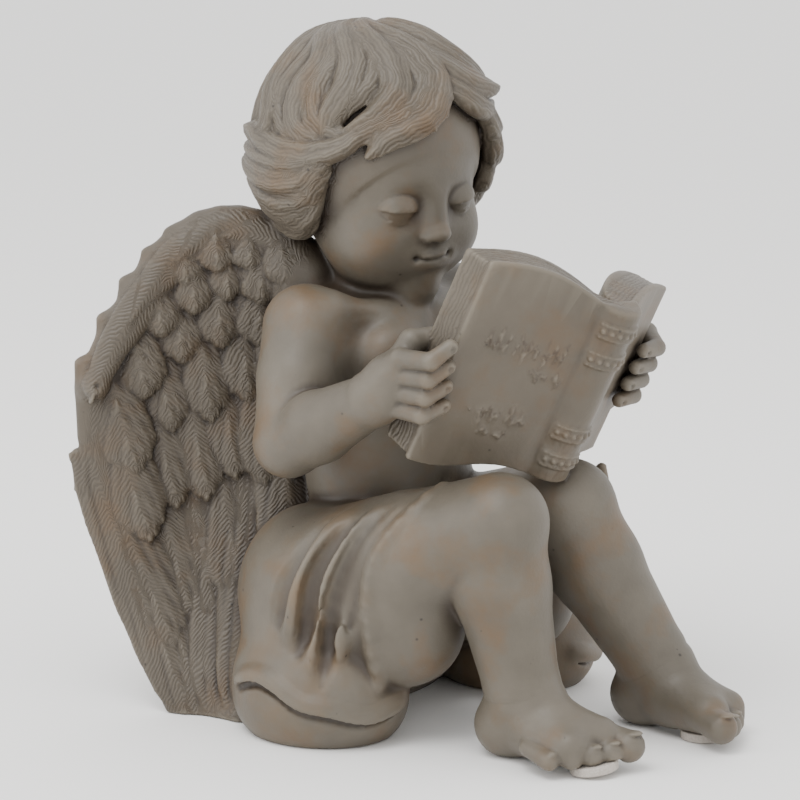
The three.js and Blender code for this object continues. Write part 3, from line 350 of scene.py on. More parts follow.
class Ribbon(Shape):
    """A flat lock or feather along a line, with its flat side to the outward normals. carve takes the place
    along it (0 to 1) and across it (-1 to 1), and gives how deep the tool goes."""

    def __init__(self, line, outward, widths, thicknesses, carve=None):
        line, outward = np.array(line, float), np.array(outward, float)
        super().__init__(line, max(max(widths), max(thicknesses)), self.depth)
        tangent = np.gradient(line, axis=0)
        self.side = np.array([unit(np.cross(n, t)) for n, t in zip(outward, tangent)])
        self.up = np.array([unit(np.cross(t, a)) for t, a in zip(tangent, self.side)])
        self.line, self.widths, self.thicknesses, self.carve = line, widths, thicknesses, carve
        self.starts = np.concatenate([[0], np.cumsum(np.linalg.norm(np.diff(line, axis=0), axis=1))])

    def depth(self, x, y, z):
        return self.measure(x, y, z)[0]

    def measure(self, x, y, z, full=False):
        """The distance, and in full also the millimetres along and across the ribbon."""
        best, along, aside = None, None, None
        line, spans = self.line, len(self.line) - 1
        for i in range(spans):
            axis = line[i + 1] - line[i]
            px, py, pz = x - line[i][0], y - line[i][1], z - line[i][2]
            t = ((px * axis[0] + py * axis[1] + pz * axis[2]) / (axis @ axis)).clip(0, 1)
            w = mix(self.widths[i], self.widths[i + 1], t)
            h = mix(self.thicknesses[i], self.thicknesses[i + 1], t)
            rx, ry, rz = px - axis[0] * t, py - axis[1] * t, pz - axis[2] * t
            across, high = (
                mix(*(rx * a[0] + ry * a[1] + rz * a[2] for a in pair), t)
                for pair in (self.side[i:i + 2], self.up[i:i + 2])
            )
            rest2 = np.maximum(rx * rx + ry * ry + rz * rz - across * across - high * high, 0)
            k0 = np.sqrt((across / w) ** 2 + (high / h) ** 2 + rest2 / h ** 2)
            k1 = np.sqrt(across ** 2 / w ** 4 + high ** 2 / h ** 4 + rest2 / h ** 4)
            d = k0 * (k0 - 1) / np.maximum(k1, 1e-6)
            if self.carve:
                d = d + self.carve((i + t) / spans, (across / w).clip(-1, 1)) * (d < 2)
            place = self.starts[i] + t * (self.starts[i + 1] - self.starts[i]) if full else None
            if best is None:
                best, along, aside = d, place, across
            elif full:
                along, aside = np.where(d < best, place, along), np.where(d < best, across, aside)
                best = np.minimum(best, d)
            else:
                best = np.minimum(best, d)
        return best, along, aside


def strands(number, depth, seed):
    """Broad combed grooves that run along a lock and wander a little."""
    def carve(along, across):
        wander = 0.25 * np.sin(4 * along + seed)
        groove = 0.5 - 0.5 * np.cos(math.pi * number * (across + wander))
        return depth * groove ** 2 * np.sin(np.pi * along.clip(0.03, 0.97)) ** 0.3
    return carve


# each lock: its path, its width, how far it stands off the scalp, and how far its tip turns up
RIGHT_LOCKS = [
    ([(3, 60), (13, 56), (34, 14), (55, 2), (72, 10), (82, 32), (90, 43)], 9.5, 3.4, 0),
    ([(3, 66), (14, 63), (36, 25), (56, 13), (69, 22), (78, 38), (86, 49)], 9, 2.6, 0),
    ([(3, 74), (14, 70), (36, 35), (56, 26), (68, 36), (79, 52)], 8.5, 3.8, 0),
    ([(3, 80), (15, 77), (36, 46), (55, 40), (67, 52), (76, 60)], 8.5, 2.8, 0),
    ([(3, 86), (16, 83), (38, 56), (56, 55), (70, 62), (82, 60)], 8.5, 3.8, 0),
    ([(3, 100), (17, 99), (40, 68), (60, 71), (75, 68), (85, 52)], 9, 2.8, 0),
    ([(3, 120), (18, 114), (39, 80), (60, 84), (77, 78), (86, 62)], 9, 3.6, 0),
]
SIDE_LOCKS = [
    ([(3, 130), (20, 125), (38, 96), (60, 99), (77, 93), (88, 80)], 9, 2.8, 1),
    ([(3, 140), (23, 136), (38, 114), (58, 112), (76, 106), (86, 118)], 9.5, 3.8, 2),
    ([(3, 150), (25, 150), (41, 134), (60, 130), (80, 126), (92, 134)], 9.5, 2.8, 2),
    ([(80, 44), (88, 56), (92, 74), (88, 98), (82, 118), (81, 130)], 7.5, 3.8, 4),
    ([(86, 58), (95, 70), (97, 88), (93, 108), (88, 124)], 7.5, 4.4, 3),
    ([(92, 62), (103, 76), (104, 94), (99, 114), (94, 132)], 8, 5.2, 3),
    ([(98, 64), (111, 76), (115, 94), (111, 116), (102, 132)], 8.5, 4.4, 3),
    ([(104, 68), (119, 78), (124, 96), (119, 116), (110, 134)], 8.5, 3.2, 3),
    ([(112, 74), (127, 86), (133, 104), (128, 124), (120, 138)], 8, 2.4, 2),
]
FRONT_LEFT_LOCKS = [
    ([(4, 20), (12, -30), (24, -52), (38, -54), (52, -62)], 9, 2.8, 2),
    ([(4, 30), (12, 10), (26, -12), (41, -26), (54, -46), (62, -62)], 9, 3.6, 3),
    ([(6, 44), (22, 22), (40, 2), (53, -12), (60, -30), (63, -46)], 8.5, 2.8, 6),
    ([(46, 4), (57, -6), (66, -20), (70, -36), (67, -50)], 6.5, 2.6, 3),
    ([(62, -26), (72, -36), (80, -50), (76, -64), (68, -60)], 6.5, 3.4, 3),
    ([(72, -44), (84, -48), (94, -58), (92, -72), (84, -72)], 6.5, 3.6, 3),
    ([(84, -60), (96, -60), (106, -68), (104, -82), (96, -86)], 6.5, 3.2, 3),
]
BACK_LOCKS = [
    ([(4, a - 40), (26, a - 12), (48, a + 4), (70, a - 5), (90, a + 6), (104, a - 2)], 10.5, lift, 3)
    for a, lift in ((156, 3.2), (174, 2.4), (192, 3.4), (210, 2.4), (228, 3.2))
]
NAPE_LOCKS = [
    ([(94, a - 8), (106, a + 5), (118, a + 4), (125, a - 9)], 8, lift, 3)
    for a, lift in ((150, 3.4), (165, 2.6), (180, 3.4), (195, 2.6), (210, 3.4))
]
LOCK_STEPS = 17


def lock(points, width, lift, flick, seed):
    t = np.linspace(0, 1, LOCK_STEPS)
    path = smooth_path(points, LOCK_STEPS)
    sway = 3.2 * np.sin(8.5 * t + seed) * t
    line = [
        on_scalp(down, around + sway[i] / max(0.35, math.sin(math.radians(down))),
                 lift * (0.5 + 0.5 * math.sin(math.pi * t[i]) ** 0.6) + flick * t[i] ** 3)
        for i, (down, around) in enumerate(path)
    ]
    body = 0.3 + 0.7 * np.sin(math.pi * (0.12 + 0.72 * t))
    widths = width * 0.58 * body * np.sqrt(1 - 0.8 * t ** 7)
    thicknesses = 3.3 * (0.62 + 0.38 * np.sin(math.pi * t ** 0.8))
    return Ribbon(line, np.array(line) - HEAD_CENTRE, widths, thicknesses, strands(2, 0.65, seed))


hair = Clay()
hair.add(head_mass(0, 3.4, 3.4, (26.8, 29.2, 28.6)))
hair.cut(head_mass(0, -24, -14, (24, 22, 24)), 2)
mirrored_locks = [([(down, -around) for down, around in points], *rest) for points, *rest in SIDE_LOCKS]
hair_locks = []
for family in (BACK_LOCKS, NAPE_LOCKS, SIDE_LOCKS, mirrored_locks, RIGHT_LOCKS[::-1], FRONT_LEFT_LOCKS):
    for number, (points, width, lift, flick) in enumerate(family):
        hair_locks.append(lock(points, width, lift, flick, 2.4 * number + len(family)))
        hair.add(hair_locks[-1], 0.5)


# Wings
# Two hollow shields, cast with the back. An arched leading edge ends in a knob. Short feathers lie in rows
# over the long ones, which sweep down and back to the ground.

WING_STEPS = 40
WING_OUTER = smooth_path([(-63, 65, 94), (-62, 65, 68), (-56, 55.5, 28), (-51, 42, -1)], WING_STEPS + 1)
WING_INNER = smooth_path([(-13, 26, 126), (-15, 29, 95), (-23, 27, 48), (-46, 21, -1)], WING_STEPS + 1)
ARCH_RISE = 27
WING_HOLLOW = 7
WING_FRONT = np.array([-0.632, -0.775, 0])


def on_wing(across, down, clear):
    """Across from the outer edge (0) to the back (1), down from the arch (0) to the ground (1)."""
    across, down = min(max(across, 0), 1), min(max(down, 0), 1)
    arch = math.sin(math.pi * across) ** 0.85 * ARCH_RISE * (1 - down) ** 1.6
    hollow = math.sin(math.pi * across) * WING_HOLLOW * (1 - 0.6 * down)
    place = down * WING_STEPS
    i = min(int(place), WING_STEPS - 1)
    outer, inner = (mix(edge[i], edge[i + 1], place - i) for edge in (WING_OUTER, WING_INNER))
    return mix(outer, inner, across) + (0, 0, arch) + WING_FRONT * (clear - hollow)


# each row: how many, from where to where down the wing, how far they lean, their width and thickness, how far
# clear of the shield they lie (less than 0 is on its back), and the first and the last place across
FEATHER_VALUES = ("count", "from", "to", "lean", "width", "thick", "clear", "edge")
FEATHERS = [dict(zip(FEATHER_VALUES, row)) for row in (
    (8, 0.26, 1.0, 0.15, 17, 2.6, 0.2, (-0.02, 0.93)),
    (6, 0.34, 0.8, 0.14, 18, 2.2, 0.8, (0.02, 0.88)),
    (6, 0.22, 0.56, 0.09, 18, 3.0, 1.6, (0.08, 0.92)),
    (5, 0.16, 0.42, 0.07, 17.5, 3.2, 2.6, (0.1, 0.88)),
    (5, 0.08, 0.29, 0.05, 16, 3.2, 3.6, (0.2, 0.94)),
    (5, 0.03, 0.18, 0.03, 13.5, 3.2, 4.6, (0.3, 0.92)),
    (4, 0.01, 0.1, 0.02, 12, 2.8, 5.4, (0.42, 0.86)),
    (5, 0.2, 0.64, 0.1, 15, 2.4, -2.8, (0.08, 0.88)),
    (5, 0.04, 0.36, 0.06, 14, 2.4, -4.2, (0.14, 0.86)),
)]
FEATHER_STEPS = 12


def feather(row, across, number):
    """One feather of a row. Its steps lie closer together towards the tip."""
    t = 1 - (1 - np.linspace(0, 1, FEATHER_STEPS)) ** 1.5
    shorter = 0 if row["to"] == 1 else 0.05 * abs(math.sin(9 * across + row["count"]))
    end = row["to"] * (1 - shorter)
    away = math.copysign(1, row["clear"])
    uneven = 0.4 * math.sin(2.6 * number + row["clear"])
    clears = row["clear"] + away * (2.4 * t - 1.2) + uneven
    line = [on_wing(across + row["lean"] * u, mix(row["from"], end, u), c) for u, c in zip(t, clears)]
    tip = np.maximum(0, (t - 0.76) / 0.24)
    body = 0.62 + 0.38 * np.sin(math.pi * (0.15 + 0.5 * t))
    widths = row["width"] / 2 * body * np.sqrt(1 - 0.96 * tip ** 2)
    thicknesses = row["thick"] * (0.8 + 0.3 * t) * np.sqrt(1 - 0.5 * tip ** 2)

    def carve(along, across):
        shaft = np.exp(-(across / 0.16) ** 2)
        ragged = 0.3 * np.sin(9 * along + 5 * across) * np.sin(23 * along - 14 * np.abs(across))
        return 0.35 - 0.4 * shaft * (1 - along ** 3) - 0.35 * (1 - across ** 2) + ragged

    return Ribbon(line, [WING_FRONT * away] * FEATHER_STEPS, widths, thicknesses, carve)


RIB_STEPS = 9
RIM_STEPS = 14
STREAK_STEPS = 8

wing = Clay()
for rib in np.linspace(0.04, 0.98, 10):
    line = [on_wing(rib, down, 0) for down in np.linspace(0, 1, RIB_STEPS)]
    widths, thicknesses = np.linspace(7, 4.5, RIB_STEPS), np.linspace(3.0, 2.4, RIB_STEPS)
    wing.add(Ribbon(line, [WING_FRONT] * RIB_STEPS, widths, thicknesses), 2)
rim = [on_wing(across, 0.015, 0.5) for across in np.linspace(0, 1, RIM_STEPS)]
rim_radii = np.linspace(4.0, 6.2, RIM_STEPS)
for a, b, radius_a, radius_b in zip(rim, rim[1:], rim_radii, rim_radii[1:]):
    wing.add(limb(a, b, radius_a, radius_b), 2)
feathers = []
for row in FEATHERS:
    for number, across in enumerate(np.linspace(*row["edge"], row["count"])):
        feathers.append(feather(row, across, number))
        wing.add(feathers[-1], 0.4)
for number, start in enumerate(np.linspace(0.95, 0.3, 7)):
    t = np.linspace(0, 1, STREAK_STEPS)
    line = [on_wing(start - 0.34 * u, 0.01 + 0.03 * (number % 2) + 0.02 * u, 4.2 + 1.2 * u) for u in t]
    widths = 4.6 * (0.6 + 0.4 * np.sin(math.pi * t)) * np.sqrt(1 - 0.9 * t ** 6)
    feathers.append(Ribbon(line, [WING_FRONT] * STREAK_STEPS, widths, [2.6] * STREAK_STEPS))
    wing.add(feathers[-1], 0.5)
wing.add(mass(on_wing(0.02, 0.03, 3.5), (4.0, 4.0, 4.4)), 1)
wing.cut(mass(on_wing(0.02, 0.03, 8.0), (1.0, 1.0, 1.0)), 0.5)
wing.add(limb(on_wing(0.98, 0.06, 0), (-12, 22, 108), 9, 10), 5)
wings = Clay()
wings.values = np.minimum(wing.values, wing.values[::-1])


# Book
# A thick open book, cast with the hands. It has warped covers, a round spine with two pairs of beaded bands,
# and leaves that fan out at the fore edge. Rows of wandering strokes on its cover stand for writing.

SPINE_FOOT = np.array([-3.6, -51.4, 74.4])
SPINE_UP = unit(np.array([0.063, -0.4275, 0.902]))
BOOK_ACROSS = unit(np.array([1, 0, 0]) - SPINE_UP * SPINE_UP[0])
TO_READER = np.cross(SPINE_UP, BOOK_ACROSS)
BOOK_HEIGHT = 53.7
COVER_WIDTH = 36.5
COVER_THICKNESS = 2.2
PAGES_THICKNESS = 11
PAGE_RECESS = 0.8
FORE_EDGE_SLANT = 5
BOARD_START = 8.2
STROKE_RELIEF = 0.65
STROKE_HALF_WIDTH = 0.5
SPINE_HALF = 7.5
SPINE_BULGE = 5.5
SWING = {"right": math.radians(31), "left": math.radians(20)}
WARP = {"right": (4, 3, -3.2, 1.2), "left": (-4.5, 2, -4.5, 0)}


def book_point(x, y, z):
    return SPINE_FOOT + BOOK_ACROSS * x + TO_READER * y + SPINE_UP * z


def on_cover(side, out, up, clear):
    """Out from the hinge, up the spine and clear of the outer face."""
    s, swing = SIDES[side], SWING[side]
    x = s * (SPINE_HALF + out * math.cos(swing) + clear * math.sin(swing))
    return book_point(x, out * math.sin(swing) - clear * math.cos(swing), up)


def book_coordinates(x, y, z):
    px, py, pz = x - SPINE_FOOT[0], y - SPINE_FOOT[1], z - SPINE_FOOT[2]
    return [px * a[0] + py * a[1] + pz * a[2] for a in (BOOK_ACROSS, TO_READER, SPINE_UP)]


def cover_coordinates(side, x, y, z):
    s, swing = SIDES[side], SWING[side]
    bx, by, bz = book_coordinates(x, y, z)
    lean = s * bx - SPINE_HALF
    return lean * math.cos(swing) + by * math.sin(swing), bz, lean * math.sin(swing) - by * math.cos(swing)


def board(side, width, inset, slant, depth, softness, relief):
    """One half of the book: depth gives its near and far face at each place out from the hinge."""
    top, hump, bottom, wave = WARP[side]
    corners = [
        on_cover(side, out, up, clear)
        for out in (-8, width + slant) for up in (-6, BOOK_HEIGHT + 6) for clear in (-14, 2)
    ]

    def distance(x, y, z):
        out, up, clear = cover_coordinates(side, x, y, z)
        t = (out / COVER_WIDTH).clip(0, 1.1)
        near, far = depth(out, t)
        lift = -clear - 0.9 * np.sin(np.pi * t)
        high = up - (BOOK_HEIGHT - inset + top * t + hump * np.sin(np.pi * t))
        low = bottom * t + wave * np.sin(2 * np.pi * t) + inset - up
        wide = out - width - slant * (lift / PAGES_THICKNESS).clip(0, 1)
        fore = np.maximum(near - lift, lift - far)
        q = [np.maximum(high, low) + softness, wide + softness, fore + softness]
        inside = np.minimum(np.maximum(np.maximum(q[0], q[1]), q[2]), 0)
        d = np.sqrt(sum(np.maximum(v, 0) ** 2 for v in q)) + inside - softness
        return np.maximum(d + relief(out, up, lift), -BOARD_START - out)

    return Shape(corners, 1, distance)


def writing(out, up, lift):
    """Rows of wandering raised strokes on the outer face, which aren't letters."""
    total = 0
    for row, tall, start, end in ((36, 2.6, 5, 29), (29, 1.2, 3, 13), (15, 2.2, 8, 25), (9.5, 0.9, 12, 20)):
        size = tall * (0.6 + 0.4 * np.sin(0.9 * out + row))
        centre = row + size * np.sin(1.9 * out + row) + 0.35 * tall * np.sin(4.1 * out)
        slope = 1.9 * size * np.cos(1.9 * out + row) + 1.4 * tall * np.cos(4.1 * out)
        stroke = np.exp(-((up - centre) / (STROKE_HALF_WIDTH * np.sqrt(1 + slope ** 2))) ** 2)
        total = total + stroke * ((out > start) & (out < end) & (np.sin(0.7 * out + 1.3 * row) > -0.8))
    return -STROKE_RELIEF * np.minimum(total, 1) * (lift < 0.8)


def plain(out, up, lift):
    return 0


def cover_depth(out, t):
    return 0, COVER_THICKNESS


def pages_depth(out, t):
    gutter = 0.35 + 0.75 * (1 - np.exp(-np.maximum(out + SPINE_HALF, 0) / 5))
    return COVER_THICKNESS / 2, PAGES_THICKNESS * gutter * (1 - 0.2 * (t - 0.3).clip(0, 1) ** 2)


def loose_leaves(out, up, lift):
    """Uneven edges of the leaves, in a few thick bundles."""
    return 0.3 * np.sin(lift * 2.1 + 0.5 * np.sin(0.3 * out)) ** 2 * (lift < PAGES_THICKNESS * 0.85)


book = Clay()
for side in SIDES:
    book.add(board(side, COVER_WIDTH, 0, 0, cover_depth, 0.7, writing if side == "right" else plain), 0.3)
    page_width = COVER_WIDTH - PAGE_RECESS
    book.add(board(side, page_width, PAGE_RECESS, FORE_EDGE_SLANT, pages_depth, 1.0, loose_leaves), 0.3)

SPINE_RADIUS = (SPINE_HALF ** 2 + SPINE_BULGE ** 2) / (2 * SPINE_BULGE)
SPINE_MIDDLE = SPINE_RADIUS - SPINE_BULGE


def spine_shell(low, high, proud, softness):
    """The rounded back of the book between two heights, or a band that stands proud of it."""
    def distance(x, y, z):
        bx, by, bz = book_coordinates(x, y, z)
        round_back = np.sqrt(bx ** 2 + (by - SPINE_MIDDLE) ** 2) - SPINE_RADIUS - proud + softness
        ends = np.abs(bz - (low + high) / 2) - (high - low) / 2 + softness
        inner = np.maximum(by - 1.5, np.abs(bx) - SPINE_HALF - 0.4)
        edge = np.sqrt(np.maximum(round_back, 0) ** 2 + np.maximum(ends, 0) ** 2)
        return np.maximum(edge + np.minimum(np.maximum(round_back, ends), 0) - softness, inner)

    corners = [book_point(x, y, z) for x in (-8, 8) for y in (-8, 3) for z in (low, high)]
    return Shape(corners, 1, distance)


BAND_HEIGHT = 4.5
BAND_EDGE = 0.8
BEADS = 8
BEAD_RADIUS = 0.95
book.add(spine_shell(0, BOOK_HEIGHT, 0, 1.0), 0.6)
band_feet = (BAND_HEIGHT, BAND_HEIGHT * 2.9)
for foot_height in band_feet + tuple(BOOK_HEIGHT - z - BAND_HEIGHT for z in band_feet):
    book.add(spine_shell(foot_height, foot_height + BAND_HEIGHT, 0.35, 0.2), 0.2)
    for edge_height in (foot_height, foot_height + BAND_HEIGHT - BAND_EDGE):
        book.add(spine_shell(edge_height, edge_height + BAND_EDGE, 0.8, 0.3), 0.2)
    for lean in np.radians(np.linspace(-58, 58, BEADS)):
        reach = SPINE_RADIUS + 0.3
        x, y = reach * math.sin(lean), SPINE_MIDDLE - reach * math.cos(lean)
        book.add(mass(book_point(x, y, foot_height + BAND_HEIGHT / 2), [BEAD_RADIUS] * 3), 0.15)
for side in SIDES:
    book.cut(limb(on_cover(side, 1.2, -2, 0.7), on_cover(side, 1.2, BOOK_HEIGHT + 2, 0.7), 1.0, 1.0), 1.0)


# Hands
# The fingers of each hand lie over the fore edge of a cover, and the thumb lies on the pages. They are cast
# with the arms and the book. Places are out, up and clear of the cover's outer face.

GRIPS = {
    "right": {
        "palm": (45.6, 14.2, -9),
        "knuckles": ((47.4, 22.9, -5), (44.1, 8.5, -6)),
        "tips": ((39, 32.7, 2.2), (34, 15.7, 2.2)),
        "bend": 3.6,
        "thumb": ((43.6, 26, -11), (31, 30, -14)),
    },
    "left": {
        "palm": (45.6, 21.2, -6.2),
        "knuckles": ((46.6, 30.9, -1.6), (44.8, 16, -2.4)),
        "tips": ((30, 31.5, 2.4), (28, 15.6, 2.2)),
        "bend": 4.8,
        "thumb": ((45.8, 33.5, -10.5), (33, 38, -14)),
    },
}

hands = Clay()
for side in SIDES:
    grip = GRIPS[side]
    palm = on_cover(side, *grip["palm"])
    hands.add(limb(ARMS[side]["wrist"], palm, 7.2, 7.0), 4)
    for t in np.linspace(0, 1, 4):
        knuckle = mix(*np.array(grip["knuckles"]), t)
        tip = mix(*np.array(grip["tips"]), t)
        middle = (knuckle + tip) / 2
        middle[2] = max(knuckle[2], tip[2]) + grip["bend"] * 0.35
        hands.add(limb(palm, on_cover(side, *knuckle), 6.2, 3.0), 2.2)
        hands.add(limb(on_cover(side, *knuckle), on_cover(side, *middle), 2.8, 2.5), 0.7)
        hands.add(limb(on_cover(side, *middle), on_cover(side, *tip), 2.5, 2.1), 0.4)
        nail = on_cover(side, tip[0] - 0.6, tip[1] + 0.2, tip[2] + 2.2)
        hands.cut(mass(nail, (1.1, 1.1, 0.9)), 0.3)
    root, end = (on_cover(side, *p) for p in grip["thumb"])
    hands.add(limb(palm, root, 5, 3.4), 2)
    hands.add(limb(root, end, 3.3, 2.7), 1)


# Cloth
# A wide length of thick cloth round the hips, cast with the body. Long folds run from the waist over each
# thigh to a wavy hem, which lies on the smooth rounded block that the figure sits on.

LOBES = {"right": np.array([-39, 0, 14.0]), "left": np.array([41, -6, 14.0])}
HIP = (-24, 0, 28)
FRONT_EDGE = [
    (-34, -39, 73), (-44, -36, 67), (-49, -32, 60), (-51, -29, 52), (-51, -28, 42), (-48, -27, 30),
    (-43, -25, 18),
]
FOLDS = [
    [(-43, -34, 68), (-49, -30, 61), (-52, -27, 53), (-53, -25, 45), (-53, -23, 36)],
    [(-42, -30, 69), (-49, -25, 61), (-53, -22, 52), (-54, -18, 42), (-55, -16, 30), (-55, -15, 20)],
    [(-44, -21, 66), (-51, -16, 58), (-55, -12, 49), (-57, -10, 38), (-58, -8, 27)],
    [(-43, -8, 63), (-51, -5, 55), (-56, -1, 45), (-59, 1, 34)],
]
HEM = [
    (-61, 14, 15), (-63, 4, 18), (-64, -4, 17), (-62, -12, 12), (-57, -19, 10), (-49, -24, 9), (-40, -26, 11),
    (-34, -24, 13),
]
FOLD_STEPS = 13
EDGE_STEPS = 15
HEM_STEPS = 25


def sampled(values, points):
    """Grid values at points in metres, mixed between the eight cells round each."""
    at = (points * 1000 - ROOM_LOW) / CELL
    base = np.floor(at).astype(int).clip(0, ROOM - 2)
    f = (at - base).clip(0, 1)
    total = 0
    for i in (0, 1):
        for j in (0, 1):
            for k in (0, 1):
                weight = abs(1 - i - f[:, 0]) * abs(1 - j - f[:, 1]) * abs(1 - k - f[:, 2])
                total = total + weight * values[base[:, 0] + i, base[:, 1] + j, base[:, 2] + k]
    return total


LOOK_INWARD, LOOK_OUTWARD, LOOK_STEP = 14, 8, 0.25


def settled(points, s, surface, away, count):
    """A smooth line for one side, laid on the surface and then moved out from it."""
    centre = np.array(HIP if s < 0 else (2 - HIP[0], HIP[1] - 5, HIP[2]), float)
    line = []
    for x, y, z in smooth_path(points, count):
        point = np.array((x, y, z) if s < 0 else (2 - x, y - 5, z))
        outward = unit(point - centre)
        offsets = np.arange(-LOOK_INWARD, LOOK_OUTWARD, LOOK_STEP)
        reach = np.linalg.norm(point - centre) + offsets
        depth = sampled(surface, (centre + reach[:, None] * outward) / 1000)
        found = np.nonzero((depth[:-1] < 0) & (depth[1:] >= 0))[0]
        if len(found):
            point = centre + outward * reach[found[np.abs(offsets[found]).argmin()]]
        line.append(point + outward * away)
    line = np.array(line)
    line[1:-1] = (line[:-2] + 2 * line[1:-1] + line[2:]) / 4
    return line


def chain(press, points, radii, fillet):
    for (a, b), (ra, rb) in zip(zip(points, points[1:]), zip(radii, radii[1:])):
        press(limb(a, b, ra, rb), fillet)


cloth = Clay()
for side, s in SIDES.items():
    root, knee = np.array(LEGS[side]["root"], float), np.array(LEGS[side]["knee"], float)
    lobe = LOBES[side]
    skin.add(mass(mix(root, knee, 0.42) + (0, 0, -17), (16, 19, 17)), 8)
    cloth.add(mass(lobe, (23, 26, 21)), 6)
    cloth.add(mass(lobe + (0, 0, -6), (21.5, 24.5, 14)), 4)
    cloth.add(mass((s * 28, 12, 36), (22, 21, 25)), 8)
    cloth.add(limb(root, mix(root, knee, 0.34), 23.5, 20.5), 6)
    surface = np.minimum(cloth.values, skin.values)
    swell = np.sin(np.pi * np.linspace(0.1, 0.92, FOLD_STEPS))
    for before, after in zip(FOLDS, FOLDS[1:]):
        valleys = [settled(fold, s, surface, -1.6, FOLD_STEPS) for fold in (before, after)]
        chain(cloth.add, (valleys[0] + valleys[1]) / 2, 1.2 + 2.0 * swell, 4)
    for fold in FOLDS:
        chain(cloth.cut, settled(fold, s, surface, 1.0, FOLD_STEPS), 0.5 + 1.7 * swell, 3)
    if side == "right":
        edge = settled(FRONT_EDGE, s, surface, -0.2, EDGE_STEPS)
        chain(cloth.add, edge, np.linspace(0.8, 1.7, EDGE_STEPS), 1.5)
    hem = settled(HEM, s, surface, -0.8, HEM_STEPS)
    hem[:, 2] += 0.6 * np.sin(np.linspace(0, 14, HEM_STEPS))
    chain(cloth.add, hem, [1.6] * HEM_STEPS, 3)
    chain(cloth.cut, hem - (0, 0, 2.2) + (s * 1.0, 0, 0), [0.8] * HEM_STEPS, 1.5)


# The casting
# All of it came out of one mould: the parts are joined softly, cut flat where it stands, and given one closed
# skin. Each point of the skin then gets how deep it lies in a fine recess, for the brown wash that settles
# there, and in a broad hollow, for the brown wash and the painted shade there.

PAD_DIAMETER = 13
PAD_THICKNESS = 2.4
GLUE_GAP = 0.3
PADS = {"right": {"reach": 29, "tilt": math.radians(9)}, "left": {"reach": 22, "tilt": 0.0}}
TRIANGLES = 196000


def pad_frame(side):
    """The middle of a pad and its upward normal."""
    foot, pad = FEET[side], PADS[side]
    axis = unit(np.array([0.77, 0.64, 0]))
    normal = np.cross((0, 0, 1), axis) * math.sin(pad["tilt"]) + np.array([0, 0, math.cos(pad["tilt"])])
    rise = PAD_DIAMETER / 2 * math.sin(pad["tilt"]) + PAD_THICKNESS / 2 * math.cos(pad["tilt"])
    middle = np.array(foot["heel"], float) + unit(np.array(foot["way"], float)) * pad["reach"] + (0, 0, rise)
    return middle, normal


figure = Clay()
figure.values = skin.values.copy()
figure.join(cloth, 2.5)
figure.join(hands, 3)
figure.join(hair, 0.6)
figure.join(wings, 2)
figure.join(book, 0.4)
for side in SIDES:
    middle, normal = pad_frame(side)

    def under_sole(x, y, z, middle=middle, normal=normal):
        px, py, pz = x - middle[0], y - middle[1], z - middle[2]
        high = px * normal[0] + py * normal[1] + pz * normal[2]
        out = np.sqrt(np.maximum(px * px + py * py + pz * pz - high * high, 0))
        return np.maximum(out - PAD_DIAMETER / 2 - 1, high - PAD_THICKNESS / 2 - GLUE_GAP)

    figure.cut(Shape([middle], PAD_DIAMETER, under_sole))
heights = (ROOM_LOW[2] + CELL * np.arange(ROOM[2])).astype(np.float32)
figure.values = np.maximum(figure.values, -heights[None, None, :])


def skin_of(clay):
    """Closed quads through the clay's surface, in metres."""
    grid = openvdb.FloatGrid()
    grid.copyFromArray(clay.values)
    points, _, quads = grid.convertToPolygons(isovalue=0.0, adaptivity=0.0)
    mesh = bpy.data.meshes.new("angel")
    mesh.from_pydata(((points * CELL + ROOM_LOW) * 0.001).tolist(), [], quads.tolist())
    mesh.validate()
    return mesh


bpy.ops.object.select_all(action="DESELECT")
angel = bpy.data.objects.new("angel", skin_of(figure))
bpy.context.scene.collection.objects.link(angel)
bpy.context.view_layer.objects.active = angel
angel.select_set(True)
bpy.ops.object.mode_set(mode="EDIT")
bpy.ops.mesh.select_all(action="SELECT")
bpy.ops.mesh.separate(type="LOOSE")
bpy.ops.object.mode_set(mode="OBJECT")
shells = sorted(bpy.context.selected_objects, key=lambda o: len(o.data.polygons))
angel = shells.pop()
for shell in shells:
    bpy.data.objects.remove(shell)
angel.name = "angel"
bpy.context.view_layer.objects.active = angel
angel.select_set(True)
bpy.ops.object.modifier_add(type="DECIMATE")
angel.modifiers[-1].ratio = TRIANGLES / (2 * len(angel.data.polygons))
bpy.ops.object.modifier_apply(modifier=angel.modifiers[-1].name)
bpy.ops.object.shade_smooth()


def blurred(values, reach):
    """The mean over a cube of the given reach in millimetres, by running sums."""
    n = max(1, round(reach / CELL))
    for axis in range(3):
        padded = np.pad(values, [(n + 1, n) if i == axis else (0, 0) for i in range(3)], mode="edge")
        total = np.cumsum(padded, axis=axis, dtype=np.float64)
        upper = np.take(total, np.arange(2 * n + 1, total.shape[axis]), axis=axis)
        lower = np.take(total, np.arange(0, total.shape[axis] - 2 * n - 1), axis=axis)
        values = ((upper - lower) / (2 * n + 1)).astype(np.float32)
    return values


points = np.empty(len(angel.data.vertices) * 3, np.float32)
angel.data.vertices.foreach_get("co", points)
points = points.reshape(-1, 3)
solid = np.clip(figure.values, -2.5, 2.5)
fine = -sampled(blurred(solid, 1.2), points)
# how deep each point lies in a broad hollow, for the brown wash and the painted shade that falls there
broad = -sampled(blurred(solid, 4.5), points)
parts = {"wing": wings, "hair": hair, "book": book, "cloth": cloth}
shares = {name: np.clip(0.5 - sampled(clay.values, points) / 2, 0, 1) for name, clay in parts.items()}

